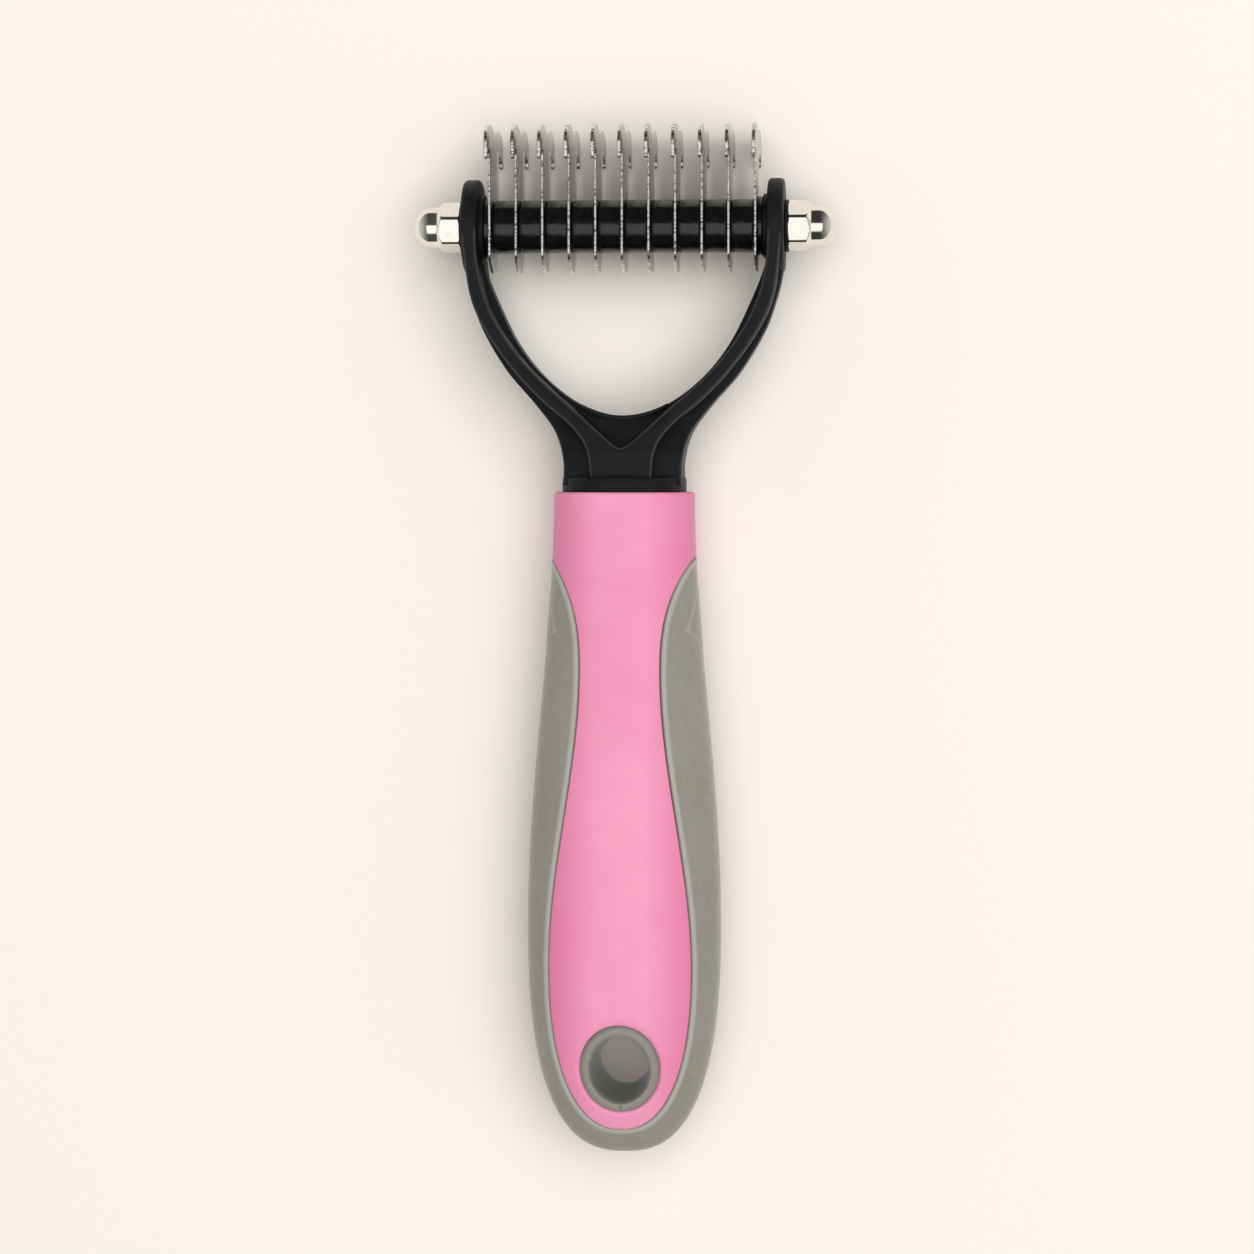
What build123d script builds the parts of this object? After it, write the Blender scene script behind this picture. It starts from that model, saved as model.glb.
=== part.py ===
"""Undercoat rake: a fork with eleven anchor-shaped blades on a threaded axle, and an overmoulded handle.

Millimetres. +Y runs from the butt of the handle to the blades, X runs along the axle and +Z is up with the
rake lying flat. The origin is at the middle of the underside of the whole rake.
"""

import math
import os

from build123d import *

# ---------------------------------------------------------------- driving sizes
HANDLE_LENGTH = 112.5  # rim of the handle to its butt
NECK_DROP = 44.8  # axle to the handle's rim
RIM_WIDTH = 23.8  # handle across at its rim
RIM_DEPTH = 20.4
BELLY_WIDTH = 32.8  # handle across at its widest
BELLY_DEPTH = 24.0
BELLY_STATION = 0.649  # share of the handle's length, from the rim, where it is widest
HANDLE_SQUARENESS = 2.5  # superellipse power of the handle's cross-sections
BUTT_SQUARENESS = 2.6  # superellipse power of the handle's rounded end

PANEL_START = 0.088  # shares of the handle's length, from the rim
PANEL_WAIST_STATION = 0.265
PANEL_FULL_STATION = 0.708
PANEL_END = 0.957
PANEL_WAIST = 6.9  # half widths of the hard panel left bare by the soft grip
PANEL_FULL = 12.2
PANEL_START_POWER = 2.5
PANEL_END_POWER = 2.3
GRIP_THICKNESS = 2.4  # soft grip over the hard core
GRIP_SEAM = 0.25  # groove between grip and panel
BOND = 0.08  # between the hard core and the soft pieces moulded to it
RIM_ROUNDING = 0.5

HOLE_FROM_BUTT = 15.5  # centre of the hanging hole
HOLE_RADIUS = 4.35  # straight land at the middle of the liner
HOLE_LAND = 4.0
MOUTH_HALF_WIDTH = 5.15  # oval mouth of the hole at the handle's surface
MOUTH_HALF_LENGTH = 5.9
LINER_WALL = 1.55  # ring of the liner that shows round the mouth

BLADE_COUNT = 11
BLADE_PITCH = 4.46
BLADE_THICKNESS = 0.6
STEM_HALF_WIDTH = 6.8
STEM_DROP = 4.8  # straight stem edge ends this far below the axle
BLADE_DROP = 7.8  # lowest point of a blade below the axle
HOOK_TOP = 16.7  # above the axle
HOOK_SPREAD = 11.1  # half of the width over both hooks
HOOK_TIP = 10.6  # above the axle

AXLE_RADIUS = 2.5  # M5 rod
AXLE_CLEARANCE = 0.1
SPACER_RADIUS = 4.5
SPACER_GAP = 0.02  # end play between a blade and a spacer
EAR_RADIUS = 8.0
EAR_THICKNESS = 2.8
END_COLLAR_LENGTH = 0.83
BOSS_RADIUS = 5.4
BOSS_LENGTH = 0.8
END_PLAY = 0.05  # between the blade set and a boss, and between a washer and its ear

RIB_HALF_DEPTH = 7.0  # front and back ribs of the fork's arms, where they are lowest
FLANGE_HALF_DEPTH = 2.5  # flat web of the arms
NECK_HALF_DEPTH = 5.2  # web where it meets the collar
RIM_WALL = 1.4  # handle's rim round the fork's collar
COLLAR_HEIGHT = 3.4  # collar that shows above the handle's rim
COLLAR_SEAT = 1.6  # collar sunk in the rim
NECK_STEP = 0.4  # neck of the fork inside the collar's sides
TANG_LENGTH = 36.0
TANG_WIDTH = 12.0
TANG_DEPTH = 9.0
TANG_WEB = 3.0
FIT = 0.1  # clearance round the tang and the collar

WASHER_RADIUS = 4.4
WASHER_THICKNESS = 0.6
NUT_FLATS = 7.6
NUT_HEX_LENGTH = 2.9
NUT_SHOULDER = 0.9  # turned shoulder between the hexagon and the dome
NUT_DOME_RADIUS = 3.45
NUT_DOME_SQUASH = 0.85
NUT_LENGTH = 8.1
NUT_TURN = 13.0  # degrees by which the nuts' upper flats lean towards the handle
NUT_CLEARANCE = 0.05
THREAD_IN_NUT = 5.2

# ---------------------------------------------------------------- places worked out from the sizes
LENGTH = HANDLE_LENGTH + NECK_DROP + HOOK_TOP
MID_Z = BELLY_DEPTH / 2
BUTT_Y = -LENGTH / 2
RIM_Y = BUTT_Y + HANDLE_LENGTH
AXLE_Y = RIM_Y + NECK_DROP
HOLE_Y = BUTT_Y + HOLE_FROM_BUTT
STACK_HALF = (BLADE_COUNT - 1) / 2 * BLADE_PITCH + BLADE_THICKNESS / 2
EAR_INNER = STACK_HALF + SPACER_GAP + END_COLLAR_LENGTH + END_PLAY + BOSS_LENGTH
EAR_OUTER = EAR_INNER + EAR_THICKNESS
COLLAR_HALF_WIDTH = RIM_WIDTH / 2 - RIM_WALL
COLLAR_HALF_DEPTH = RIM_DEPTH / 2 - RIM_WALL


# ---------------------------------------------------------------- handle
def smoothstep(u):
    """Runs from 0 to 1 with level ends."""
    u = min(max(u, 0.0), 1.0)
    return u * u * (3 - 2 * u)


def rounded_end(v, power):
    """Quarter superellipse: 1 at v = 0, 0 at v = 1."""
    return max(0.0, 1 - min(max(v, 0.0), 1.0) ** power) ** (1 / power)


def handle_half(t, rim, belly):
    """Half width or half depth of the handle at a share t of its length from the rim."""
    if t <= BELLY_STATION:
        return rim + (belly - rim) * smoothstep(t / BELLY_STATION)
    return belly * rounded_end((t - BELLY_STATION) / (1 - BELLY_STATION), BUTT_SQUARENESS)


def panel_half(t):
    """Half width of the bare panel at a share t of the handle's length from the rim."""
    if t <= PANEL_WAIST_STATION:
        start = handle_half(PANEL_START, RIM_WIDTH / 2, BELLY_WIDTH / 2) + 1.0
        u = (PANEL_WAIST_STATION - t) / (PANEL_WAIST_STATION - PANEL_START)
        return PANEL_WAIST + (start - PANEL_WAIST) * u**PANEL_START_POWER
    if t <= PANEL_FULL_STATION:
        u = (t - PANEL_WAIST_STATION) / (PANEL_FULL_STATION - PANEL_WAIST_STATION)
        return PANEL_WAIST + (PANEL_FULL - PANEL_WAIST) * smoothstep(u)
    u = (t - PANEL_FULL_STATION) / (PANEL_END - PANEL_FULL_STATION)
    return PANEL_FULL * rounded_end(u, PANEL_END_POWER)


def handle_section(y, half_width, half_depth, power=HANDLE_SQUARENESS, count=20):
    """Superellipse face across the handle at y."""
    points = []
    for i in range(count):
        a = 2 * math.pi * i / count
        c, s = math.cos(a), math.sin(a)
        points.append(
            Vector(
                half_width * math.copysign(abs(c) ** (2 / power), c),
                y,
                MID_Z + half_depth * math.copysign(abs(s) ** (2 / power), s),
            )
        )
    return Face(Wire([Edge.make_spline(points, periodic=True)]))


def handle_blank(inset):
    """Solid of the handle's outer shape, drawn in by inset all round, from the rim to the butt."""
    stations = [0.0, 0.12, 0.25, 0.38, 0.52, BELLY_STATION]
    steps = 7
    for i in range(1, steps):
        bend = math.sin(math.pi / 2 * i / steps) ** 0.8
        stations.append(BELLY_STATION + (1 - BELLY_STATION) * bend)
    length = HANDLE_LENGTH - inset
    sections = []
    for t in stations:
        half_width = handle_half(t, RIM_WIDTH / 2 - inset, BELLY_WIDTH / 2 - inset)
        half_depth = handle_half(t, RIM_DEPTH / 2 - inset, BELLY_DEPTH / 2 - inset)
        sections.append(handle_section(RIM_Y - t * length, half_width, half_depth))
    sections.append(Vertex(0, RIM_Y - length, MID_Z))
    blank = Solid.make_loft([s.outer_wire() if isinstance(s, Face) else s for s in sections])
    rim = blank.edges().filter_by_position(Axis.Y, RIM_Y - 0.01, RIM_Y + 0.01)
    return fillet(rim, RIM_ROUNDING) if inset == 0 else blank


def panel_prism(spread):
    """Upright prism of the bare panel and the plain sleeve above it, widened by spread."""
    reach = BELLY_WIDTH
    start_y = RIM_Y - PANEL_START * HANDLE_LENGTH
    stations = [PANEL_START + (PANEL_WAIST_STATION - PANEL_START) * i / 4 for i in range(5)]
    flare = PANEL_FULL_STATION - PANEL_WAIST_STATION
    stations += [PANEL_WAIST_STATION + flare * i / 5 for i in range(1, 6)]
    end_steps = 6
    for i in range(1, end_steps):
        bend = math.sin(math.pi / 2 * i / end_steps) ** 0.85
        stations.append(PANEL_FULL_STATION + (PANEL_END - PANEL_FULL_STATION) * bend)
    side = [(panel_half(t) + spread, RIM_Y - t * HANDLE_LENGTH) for t in stations]
    tip = (0.0, RIM_Y - PANEL_END * HANDLE_LENGTH - spread)
    right = Edge.make_spline([Vector(x, y) for x, y in side] + [Vector(*tip)])
    left = Edge.make_spline([Vector(-x, y) for x, y in side] + [Vector(*tip)])
    x0 = side[0][0]
    top = [
        Vector(x0, start_y),
        Vector(reach, start_y + (reach - x0) * 0.8),
        Vector(reach, RIM_Y + 5),
        Vector(-reach, RIM_Y + 5),
        Vector(-reach, start_y + (reach - x0) * 0.8),
        Vector(-x0, start_y),
    ]
    lines = [Edge.make_line(a, b) for a, b in zip(top, top[1:])]
    face = Face(Wire([right, left, *lines]))
    return extrude(Pos(0, 0, -5) * face, amount=BELLY_DEPTH + 10, dir=(0, 0, 1))


def liner_cutter(extra):
    """Upright oval prism that seats the liner of the hanging hole."""
    oval = Ellipse(MOUTH_HALF_WIDTH + LINER_WALL + extra, MOUTH_HALF_LENGTH + LINER_WALL + extra)
    return extrude(Pos(0, HOLE_Y, MID_Z) * oval, amount=BELLY_DEPTH, both=True)


def hole_mouth():
    """Upper half of the hanging hole: a round land that widens to an oval at the handle's surface."""
    station = 1 - HOLE_FROM_BUTT / HANDLE_LENGTH
    surface = handle_half(station, RIM_DEPTH / 2, BELLY_DEPTH / 2)
    oval = Ellipse(MOUTH_HALF_WIDTH, MOUTH_HALF_LENGTH)
    taper = loft([Pos(0, 0, HOLE_LAND / 2) * Circle(HOLE_RADIUS), Pos(0, 0, surface) * oval])
    return taper + extrude(Pos(0, 0, surface) * oval, amount=BELLY_DEPTH / 2)


def collar_prism(extra, y_low, y_high):
    """Oval block of the fork's collar between two heights."""
    low = handle_section(y_low, COLLAR_HALF_WIDTH + extra, COLLAR_HALF_DEPTH + extra)
    return extrude(low, amount=y_high - y_low, dir=(0, 1, 0))


def rounded_collar():
    """The fork's collar with its upper rim eased."""
    top = RIM_Y + COLLAR_HEIGHT
    collar = collar_prism(0.0, RIM_Y - COLLAR_SEAT + FIT, top)
    return fillet(collar.edges().filter_by_position(Axis.Y, top - 0.01, top + 0.01), 0.5)


def tang_shape(extra):
    """Cross-shaped tang of the fork below its collar."""
    top = RIM_Y - COLLAR_SEAT + 1.0
    length = TANG_LENGTH + 1.0 + extra
    middle = top - length / 2
    wide = Pos(0, middle, MID_Z) * Box(TANG_WIDTH + 2 * extra, length, TANG_WEB + 2 * extra)
    deep = Pos(0, middle, MID_Z) * Box(TANG_WEB + 2 * extra, length, TANG_DEPTH + 2 * extra)
    return wide + deep


def make_handle_core(outer, inner):
    """Hard core of the handle: the bare panels, the plain sleeve and the body under the grip."""
    core = (outer & panel_prism(0.0)) + inner
    core -= liner_cutter(BOND)
    core -= collar_prism(FIT, RIM_Y - COLLAR_SEAT, RIM_Y + 5)
    core -= tang_shape(FIT)
    return core


def make_grip(outer, inner):
    """Soft grip moulded round the sides and the butt of the core."""
    return outer - panel_prism(GRIP_SEAM) - inner


def make_liner(outer):
    """Soft liner of the hanging hole, narrowest at its middle."""
    liner = outer & liner_cutter(0.0)
    hole = Cylinder(HOLE_RADIUS, HOLE_LAND) + hole_mouth() + Rot(180, 0, 0) * hole_mouth()
    return liner - Pos(0, HOLE_Y, MID_Z) * hole


# ---------------------------------------------------------------- fork
# Right-hand edges of the fork, measured from the axle: (half width, height). They are drawn for the four
# sizes below, and from_axle spreads and stretches them to the real ones.
DRAWN_EAR_OUTER = 27.1
DRAWN_EAR_INNER = 24.3
DRAWN_NECK = 10.1
DRAWN_NECK_DROP = 44.8
ARM_OUTSIDE = [
    (27.1, -2.0),
    (26.8, -8.0),
    (25.7, -12.6),
    (23.8, -17.7),
    (19.7, -24.5),
    (14.8, -30.2),
    (11.5, -34.7),
]
NECK_SIDE = (DRAWN_NECK, -39.3)
WINDOW_SIDE = [(24.3, -2.0), (24.0, -6.0), (21.5, -12.6), (17.6, -20.3), (12.6, -26.2), (6.5, -30.4)]
WINDOW_BOTTOM = (0.0, -31.9)
RIB_OUTSIDE = [
    (26.95, -0.5),
    (26.6, -6.5),
    (25.4, -12.2),
    (23.0, -17.6),
    (18.6, -23.9),
    (13.7, -29.2),
    (8.6, -33.6),
    (5.9, -37.4),
]
RIB_FOOT = (4.7, -41.5)
RIB_INSIDE = [
    (24.45, -0.5),
    (24.3, -6.5),
    (23.1, -11.4),
    (20.7, -16.9),
    (16.4, -22.4),
    (11.6, -26.9),
    (6.9, -30.9),
]
CROTCH = (0.0, -37.2)


def fork_height(y):
    """Place along the rake of a height drawn above the axle."""
    return AXLE_Y + y * NECK_DROP / DRAWN_NECK_DROP


def fork_spread(x):
    """Half width that a drawn one stands for: the neck follows the collar, the arms' tops follow the ears."""
    neck = COLLAR_HALF_WIDTH - NECK_STEP
    if x <= DRAWN_NECK:
        return x * neck / DRAWN_NECK
    share = min(1.0, (x - DRAWN_NECK) / (DRAWN_EAR_INNER - DRAWN_NECK))
    return x + (neck - DRAWN_NECK) * (1 - share) + (EAR_OUTER - DRAWN_EAR_OUTER) * share


def from_axle(points, side=1):
    """Drawn points put in the rake's frame."""
    return [Vector(side * fork_spread(x), fork_height(y)) for x, y in points]


def fork_outline():
    """Flat Y-shaped web of both arms and the neck, with the round window between the arms."""
    neck_y = RIM_Y + COLLAR_HEIGHT * 0.5
    pieces = []
    for side in (1, -1):
        out = from_axle(ARM_OUTSIDE + [NECK_SIDE], side)
        pieces.append(Edge.make_spline(out, tangents=[Vector(0, -1), Vector(0, -1)]))
        pieces.append(Edge.make_line(out[-1], Vector(out[-1].X, neck_y)))
        window = from_axle(WINDOW_SIDE + [WINDOW_BOTTOM], side)
        pieces.append(Edge.make_spline(window, tangents=[Vector(0, -1), Vector(-side, 0)]))
        pieces.append(Edge.make_line(out[0], window[0]))
    neck = fork_spread(DRAWN_NECK)
    pieces.append(Edge.make_line(Vector(neck, neck_y), Vector(-neck, neck_y)))
    return Face(Wire.combine(pieces)[0])


def rib_outline():
    """Flat Y of the raised ribs: one along each arm, joined over the neck."""
    pieces = []
    foot_y = RIM_Y + COLLAR_HEIGHT * 0.5
    for side in (1, -1):
        out = from_axle(RIB_OUTSIDE + [RIB_FOOT], side)
        pieces.append(Edge.make_spline(out, tangents=[Vector(0, -1), Vector(0, -1)]))
        pieces.append(Edge.make_line(out[-1], Vector(out[-1].X, foot_y)))
        into = from_axle(RIB_INSIDE, side)
        crotch = from_axle([CROTCH])[0]
        pieces.append(Edge.make_spline([*into], tangents=[Vector(0, -1), Vector(-side * 0.75, -0.66)]))
        pieces.append(Edge.make_line(into[-1], crotch))
        pieces.append(Edge.make_line(out[0], into[0]))
    foot = fork_spread(RIB_FOOT[0])
    pieces.append(Edge.make_line(Vector(foot, foot_y), Vector(-foot, foot_y)))
    return Face(Wire.combine(pieces)[0])


def swollen_slab(face, profile):
    """Face drawn out to both sides of the middle plane as far as the (height, half depth) profile reaches."""
    along = Vector(0, 1, 0)
    places = [(fork_height(y), d) for y, d in profile]
    front = Edge.make_spline([Vector(0, y, MID_Z + d) for y, d in places], tangents=[along, along])
    back = Edge.make_spline([Vector(0, y, MID_Z - d) for y, d in places], tangents=[along, along])
    ends = [Edge.make_line(front @ k, back @ k) for k in (0, 1)]
    side_view = Face(Wire.combine([front, back, *ends])[0])
    reach = EAR_OUTER + 5
    swell = extrude(Pos(-reach, 0, 0) * side_view, amount=2 * reach, dir=(1, 0, 0))
    deepest = max(d for _, d in profile) + 1
    slab = extrude(Pos(0, 0, MID_Z - deepest) * face, amount=2 * deepest, dir=(0, 0, 1))
    return slab & swell


def make_ear(side):
    """Round ear with the boss that faces the blades."""
    ear = fillet(Cylinder(EAR_RADIUS, EAR_THICKNESS).edges(), 0.7)
    boss = Pos(0, 0, -side * (EAR_THICKNESS + BOSS_LENGTH) / 2) * Cylinder(BOSS_RADIUS, BOSS_LENGTH)
    return Pos(side * (EAR_INNER + EAR_THICKNESS / 2), AXLE_Y, MID_Z) * Rot(0, 90, 0) * (ear + boss)


def make_yoke():
    """Fork: two ears, two ribbed arms that join in a Y, neck, collar and tang."""
    foot = -DRAWN_NECK_DROP - 1
    neck, web_depth = NECK_HALF_DEPTH, FLANGE_HALF_DEPTH
    web = [(foot, neck), (-38.0, neck - 0.6), (-28.0, web_depth), (2.0, web_depth)]
    plateau = COLLAR_HALF_DEPTH - 0.6
    ribs = [(foot, plateau), (-38.0, plateau - 0.2), (-24.0, RIB_HALF_DEPTH), (1.0, EAR_RADIUS - 0.1)]
    yoke = swollen_slab(fork_outline(), web)
    yoke += swollen_slab(rib_outline(), ribs)
    for side in (1, -1):
        yoke += make_ear(side)
    yoke += rounded_collar()
    yoke += tang_shape(0.0)
    bore = Cylinder(AXLE_RADIUS + AXLE_CLEARANCE, 2 * EAR_OUTER + 5)
    return yoke - Pos(0, AXLE_Y, MID_Z) * Rot(0, 90, 0) * bore


# ---------------------------------------------------------------- blade set and nuts
def blade_outline():
    """Anchor-shaped side view of a blade in the YZ plane, both hooks curling back beside the stem."""
    half = STEM_HALF_WIDTH
    pieces = []
    for side in (1, -1):

        def at(z, y):
            return Vector(0, AXLE_Y + y, MID_Z + side * z)

        valley = at(0, HOOK_TOP - 1.1)
        crest = at(HOOK_SPREAD * 0.52, HOOK_TOP)
        shoulder = at(HOOK_SPREAD, HOOK_TOP - 3.4)
        tip_out = at(HOOK_SPREAD - 0.2, HOOK_TIP + 0.5)
        tip_in = at(HOOK_SPREAD - 1.1, HOOK_TIP + 0.5)
        notch = at((HOOK_SPREAD + half) / 2 - 0.45, HOOK_TOP - 4.2)
        stem_top = at(half, HOOK_TIP + 0.3)
        stem_end = at(half, -STEM_DROP)
        corner = at(half - 1.7, -STEM_DROP - 1.5)
        foot = at(0, -BLADE_DROP)
        up = Vector(0, 1, 0)
        out = Vector(0, 0, side)
        pieces.append(Edge.make_spline([valley, crest, shoulder], tangents=[out, -up]))
        pieces.append(Edge.make_line(shoulder, tip_out))
        pieces.append(Edge.make_three_point_arc(tip_out, at(HOOK_SPREAD - 0.65, HOOK_TIP), tip_in))
        pieces.append(Edge.make_spline([tip_in, notch, stem_top], tangents=[up, -up]))
        pieces.append(Edge.make_line(stem_top, stem_end))
        pieces.append(Edge.make_spline([stem_end, corner, foot], tangents=[-up, -out]))
    return Face(Wire.combine(pieces)[0])


def make_blade(index):
    """One blade of the row, counted from the left."""
    x = (index - (BLADE_COUNT - 1) / 2) * BLADE_PITCH
    outline = blade_outline()
    plate = extrude(Pos(x - BLADE_THICKNESS / 2, 0, 0) * outline, amount=BLADE_THICKNESS, dir=(1, 0, 0))
    hole = Cylinder(AXLE_RADIUS + AXLE_CLEARANCE / 2, BLADE_THICKNESS * 3)
    return plate - Pos(x, AXLE_Y, MID_Z) * Rot(0, 90, 0) * hole


def tube_on_axle(x, length, outer_radius, bore_radius, rounding):
    """Sleeve on the axle line, centred at x, its outer edges eased."""
    body = Cylinder(outer_radius, length)
    if rounding:
        body = chamfer(body.edges(), rounding)
    body -= Cylinder(bore_radius, length * 2)
    return Pos(x, AXLE_Y, MID_Z) * Rot(0, 90, 0) * body


def make_spacer(index):
    """Sleeve between two blades, counted from the left."""
    x = (index - (BLADE_COUNT - 2) / 2) * BLADE_PITCH
    length = BLADE_PITCH - BLADE_THICKNESS - 2 * SPACER_GAP
    return tube_on_axle(x, length, SPACER_RADIUS, AXLE_RADIUS + AXLE_CLEARANCE / 2, 0.35)


def make_end_collar(side):
    """Short sleeve between the outermost blade and the ear's boss."""
    x = side * (STACK_HALF + SPACER_GAP + END_COLLAR_LENGTH / 2)
    return tube_on_axle(x, END_COLLAR_LENGTH, BOSS_RADIUS - 0.4, AXLE_RADIUS + AXLE_CLEARANCE / 2, 0.15)


def make_axle():
    """Rod through both ears, long enough for the cap nuts."""
    half = EAR_OUTER + END_PLAY + WASHER_THICKNESS + THREAD_IN_NUT
    rod = chamfer(Cylinder(AXLE_RADIUS, 2 * half).edges(), 0.4)
    return Pos(0, AXLE_Y, MID_Z) * Rot(0, 90, 0) * rod


def make_washer(side):
    """Thin washer between an ear and its nut."""
    x = side * (EAR_OUTER + END_PLAY + WASHER_THICKNESS / 2)
    return tube_on_axle(x, WASHER_THICKNESS, WASHER_RADIUS, AXLE_RADIUS + NUT_CLEARANCE, 0.12)


def make_cap_nut(side):
    """Acorn nut: hexagon with a turned shoulder, a domed end and a blind bore."""
    across_corners = NUT_FLATS / math.cos(math.pi / 6)
    on_seat = (Align.CENTER, Align.CENTER, Align.MIN)
    shoulder = NUT_HEX_LENGTH + NUT_SHOULDER
    hexagon = extrude(RegularPolygon(across_corners / 2, 6), amount=shoulder)
    cone_height = 2.2
    cone = Cone(across_corners / 2 + 1.4, NUT_DOME_RADIUS + 0.1, cone_height, align=on_seat)
    turned = Pos(0, 0, shoulder - cone_height) * cone
    turned += Cylinder(across_corners, shoulder - cone_height, align=on_seat)
    body = hexagon & turned
    straight = NUT_LENGTH - NUT_DOME_RADIUS * NUT_DOME_SQUASH
    dome = Cylinder(NUT_DOME_RADIUS, straight, align=on_seat)
    cap = Pos(0, 0, straight) * scale(Sphere(NUT_DOME_RADIUS), by=(1, 1, NUT_DOME_SQUASH))
    nut = body + dome + cap
    nut -= Cylinder(AXLE_RADIUS + NUT_CLEARANCE, THREAD_IN_NUT + 0.5, align=on_seat)
    seat = EAR_OUTER + END_PLAY + WASHER_THICKNESS
    return Pos(side * seat, AXLE_Y, MID_Z) * Rot(0, side * 90, 0) * Rot(0, 0, 30 + side * NUT_TURN) * nut


# ---------------------------------------------------------------- the whole rake
def main():
    """Build every piece and write one STEP file for each."""
    os.makedirs("parts", exist_ok=True)
    outer = handle_blank(0.0)
    parts = {
        "handle_core": make_handle_core(outer, handle_blank(GRIP_THICKNESS + BOND)),
        "grip": make_grip(outer, handle_blank(GRIP_THICKNESS)),
        "hang_hole_liner": make_liner(outer),
        "yoke": make_yoke(),
        "axle": make_axle(),
    }
    for index in range(BLADE_COUNT):
        parts[f"blade_{index + 1:02d}"] = make_blade(index)
    for index in range(BLADE_COUNT - 1):
        parts[f"spacer_{index + 1:02d}"] = make_spacer(index)
    for side, name in ((-1, "left"), (1, "right")):
        parts[f"{name}_end_collar"] = make_end_collar(side)
        parts[f"{name}_washer"] = make_washer(side)
        parts[f"{name}_cap_nut"] = make_cap_nut(side)
    for name, shape in parts.items():
        export_step(shape, f"parts/{name}.step")


if __name__ == "__main__":
    main()
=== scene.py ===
"""Undercoat rake: detailed pieces, finishes and a plain studio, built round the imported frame.

Sizes inside the classes are millimetres in the frame's own axes: X along the axle, Y from the butt of the
handle to the blades, Z up. Each mesh is scaled to metres when it becomes an object.
"""

import logging
import math
from collections.abc import Callable, Iterable, Sequence
from dataclasses import dataclass, field
from enum import Enum

import bmesh
import bpy
import numpy as np
from mathutils import Matrix, Vector
from mathutils.geometry import interpolate_bezier
from mathutils.kdtree import KDTree

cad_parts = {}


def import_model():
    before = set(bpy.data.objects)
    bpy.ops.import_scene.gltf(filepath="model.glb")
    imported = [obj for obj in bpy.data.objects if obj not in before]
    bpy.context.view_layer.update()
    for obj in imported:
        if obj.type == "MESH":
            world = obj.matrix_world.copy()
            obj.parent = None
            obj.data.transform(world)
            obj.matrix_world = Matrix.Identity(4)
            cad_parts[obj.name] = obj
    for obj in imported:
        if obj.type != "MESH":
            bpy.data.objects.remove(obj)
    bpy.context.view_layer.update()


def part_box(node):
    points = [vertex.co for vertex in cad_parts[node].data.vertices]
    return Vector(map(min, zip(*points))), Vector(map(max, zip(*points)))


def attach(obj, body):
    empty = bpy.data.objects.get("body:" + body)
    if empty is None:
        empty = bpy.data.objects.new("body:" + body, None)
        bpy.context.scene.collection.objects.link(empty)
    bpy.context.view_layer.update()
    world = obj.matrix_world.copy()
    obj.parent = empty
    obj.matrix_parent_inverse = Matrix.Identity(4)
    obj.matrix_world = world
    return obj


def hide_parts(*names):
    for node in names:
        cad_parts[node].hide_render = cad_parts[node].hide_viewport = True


logging.basicConfig(level=logging.INFO, format="%(message)s")
log = logging.getLogger("rake")

MM = 0.001
TURN = 2 * math.pi


class Side(Enum):
    """Left and right halves of the rake, as signs along X."""

    LEFT = -1
    RIGHT = 1


class Face(Enum):
    """Front and back faces of the rake, as signs along Z."""

    FRONT = 1
    BACK = -1


# ---------------------------------------------------------------- sizes read from the frame
@dataclass(frozen=True)
class RakeSizes:
    """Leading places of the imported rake, in millimetres."""

    axle_y: float
    mid_z: float
    rim_y: float
    butt_y: float
    belly_half_width: float
    belly_half_depth: float
    hook_top: float
    ear_outer: float
    ear_radius: float
    hole_y: float

    @classmethod
    def from_frame(cls) -> "RakeSizes":
        """Read the places from the boxes of the CAD nodes.

        Returns:
            The sizes in millimetres.
        """

        def box(node: str) -> tuple[Vector, Vector]:
            """Lowest and highest corners of a CAD node, in millimetres."""
            low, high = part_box(node)
            return low / MM, high / MM

        axle, core, grip = box("axle"), box("handle_core"), box("grip")
        yoke, liner, blade = box("yoke"), box("hang_hole_liner"), box("blade_06")
        return cls(
            axle_y=(axle[0].y + axle[1].y) / 2,
            mid_z=(axle[0].z + axle[1].z) / 2,
            rim_y=core[1].y,
            butt_y=grip[0].y,
            belly_half_width=grip[1].x,
            belly_half_depth=(core[1].z - core[0].z) / 2,
            hook_top=blade[1].y,
            ear_outer=yoke[1].x,
            ear_radius=yoke[1].y - (axle[0].y + axle[1].y) / 2,
            hole_y=(liner[0].y + liner[1].y) / 2,
        )


def centre_of(node: str) -> Vector:
    """Middle of a CAD node's box, in millimetres."""
    low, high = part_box(node)
    return (low + high) / (2 * MM)


# ---------------------------------------------------------------- bmesh helpers
def sheet(u_count: int, v_count: int, place: Callable[[float, float], Vector]) -> bmesh.types.BMesh:
    """Make a grid and move each of its vertices to the place a formula gives.

    Args:
        u_count: Cells across.
        v_count: Cells along.
        place: Gives the point for shares u and v, both from 0 to 1.

    Returns:
        The shaped mesh.
    """
    bm = bmesh.new()
    bmesh.ops.create_grid(bm, x_segments=u_count, y_segments=v_count, size=0.5)
    for v in bm.verts:
        v.co = place(v.co.x + 0.5, v.co.y + 0.5)
    return bm


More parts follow.
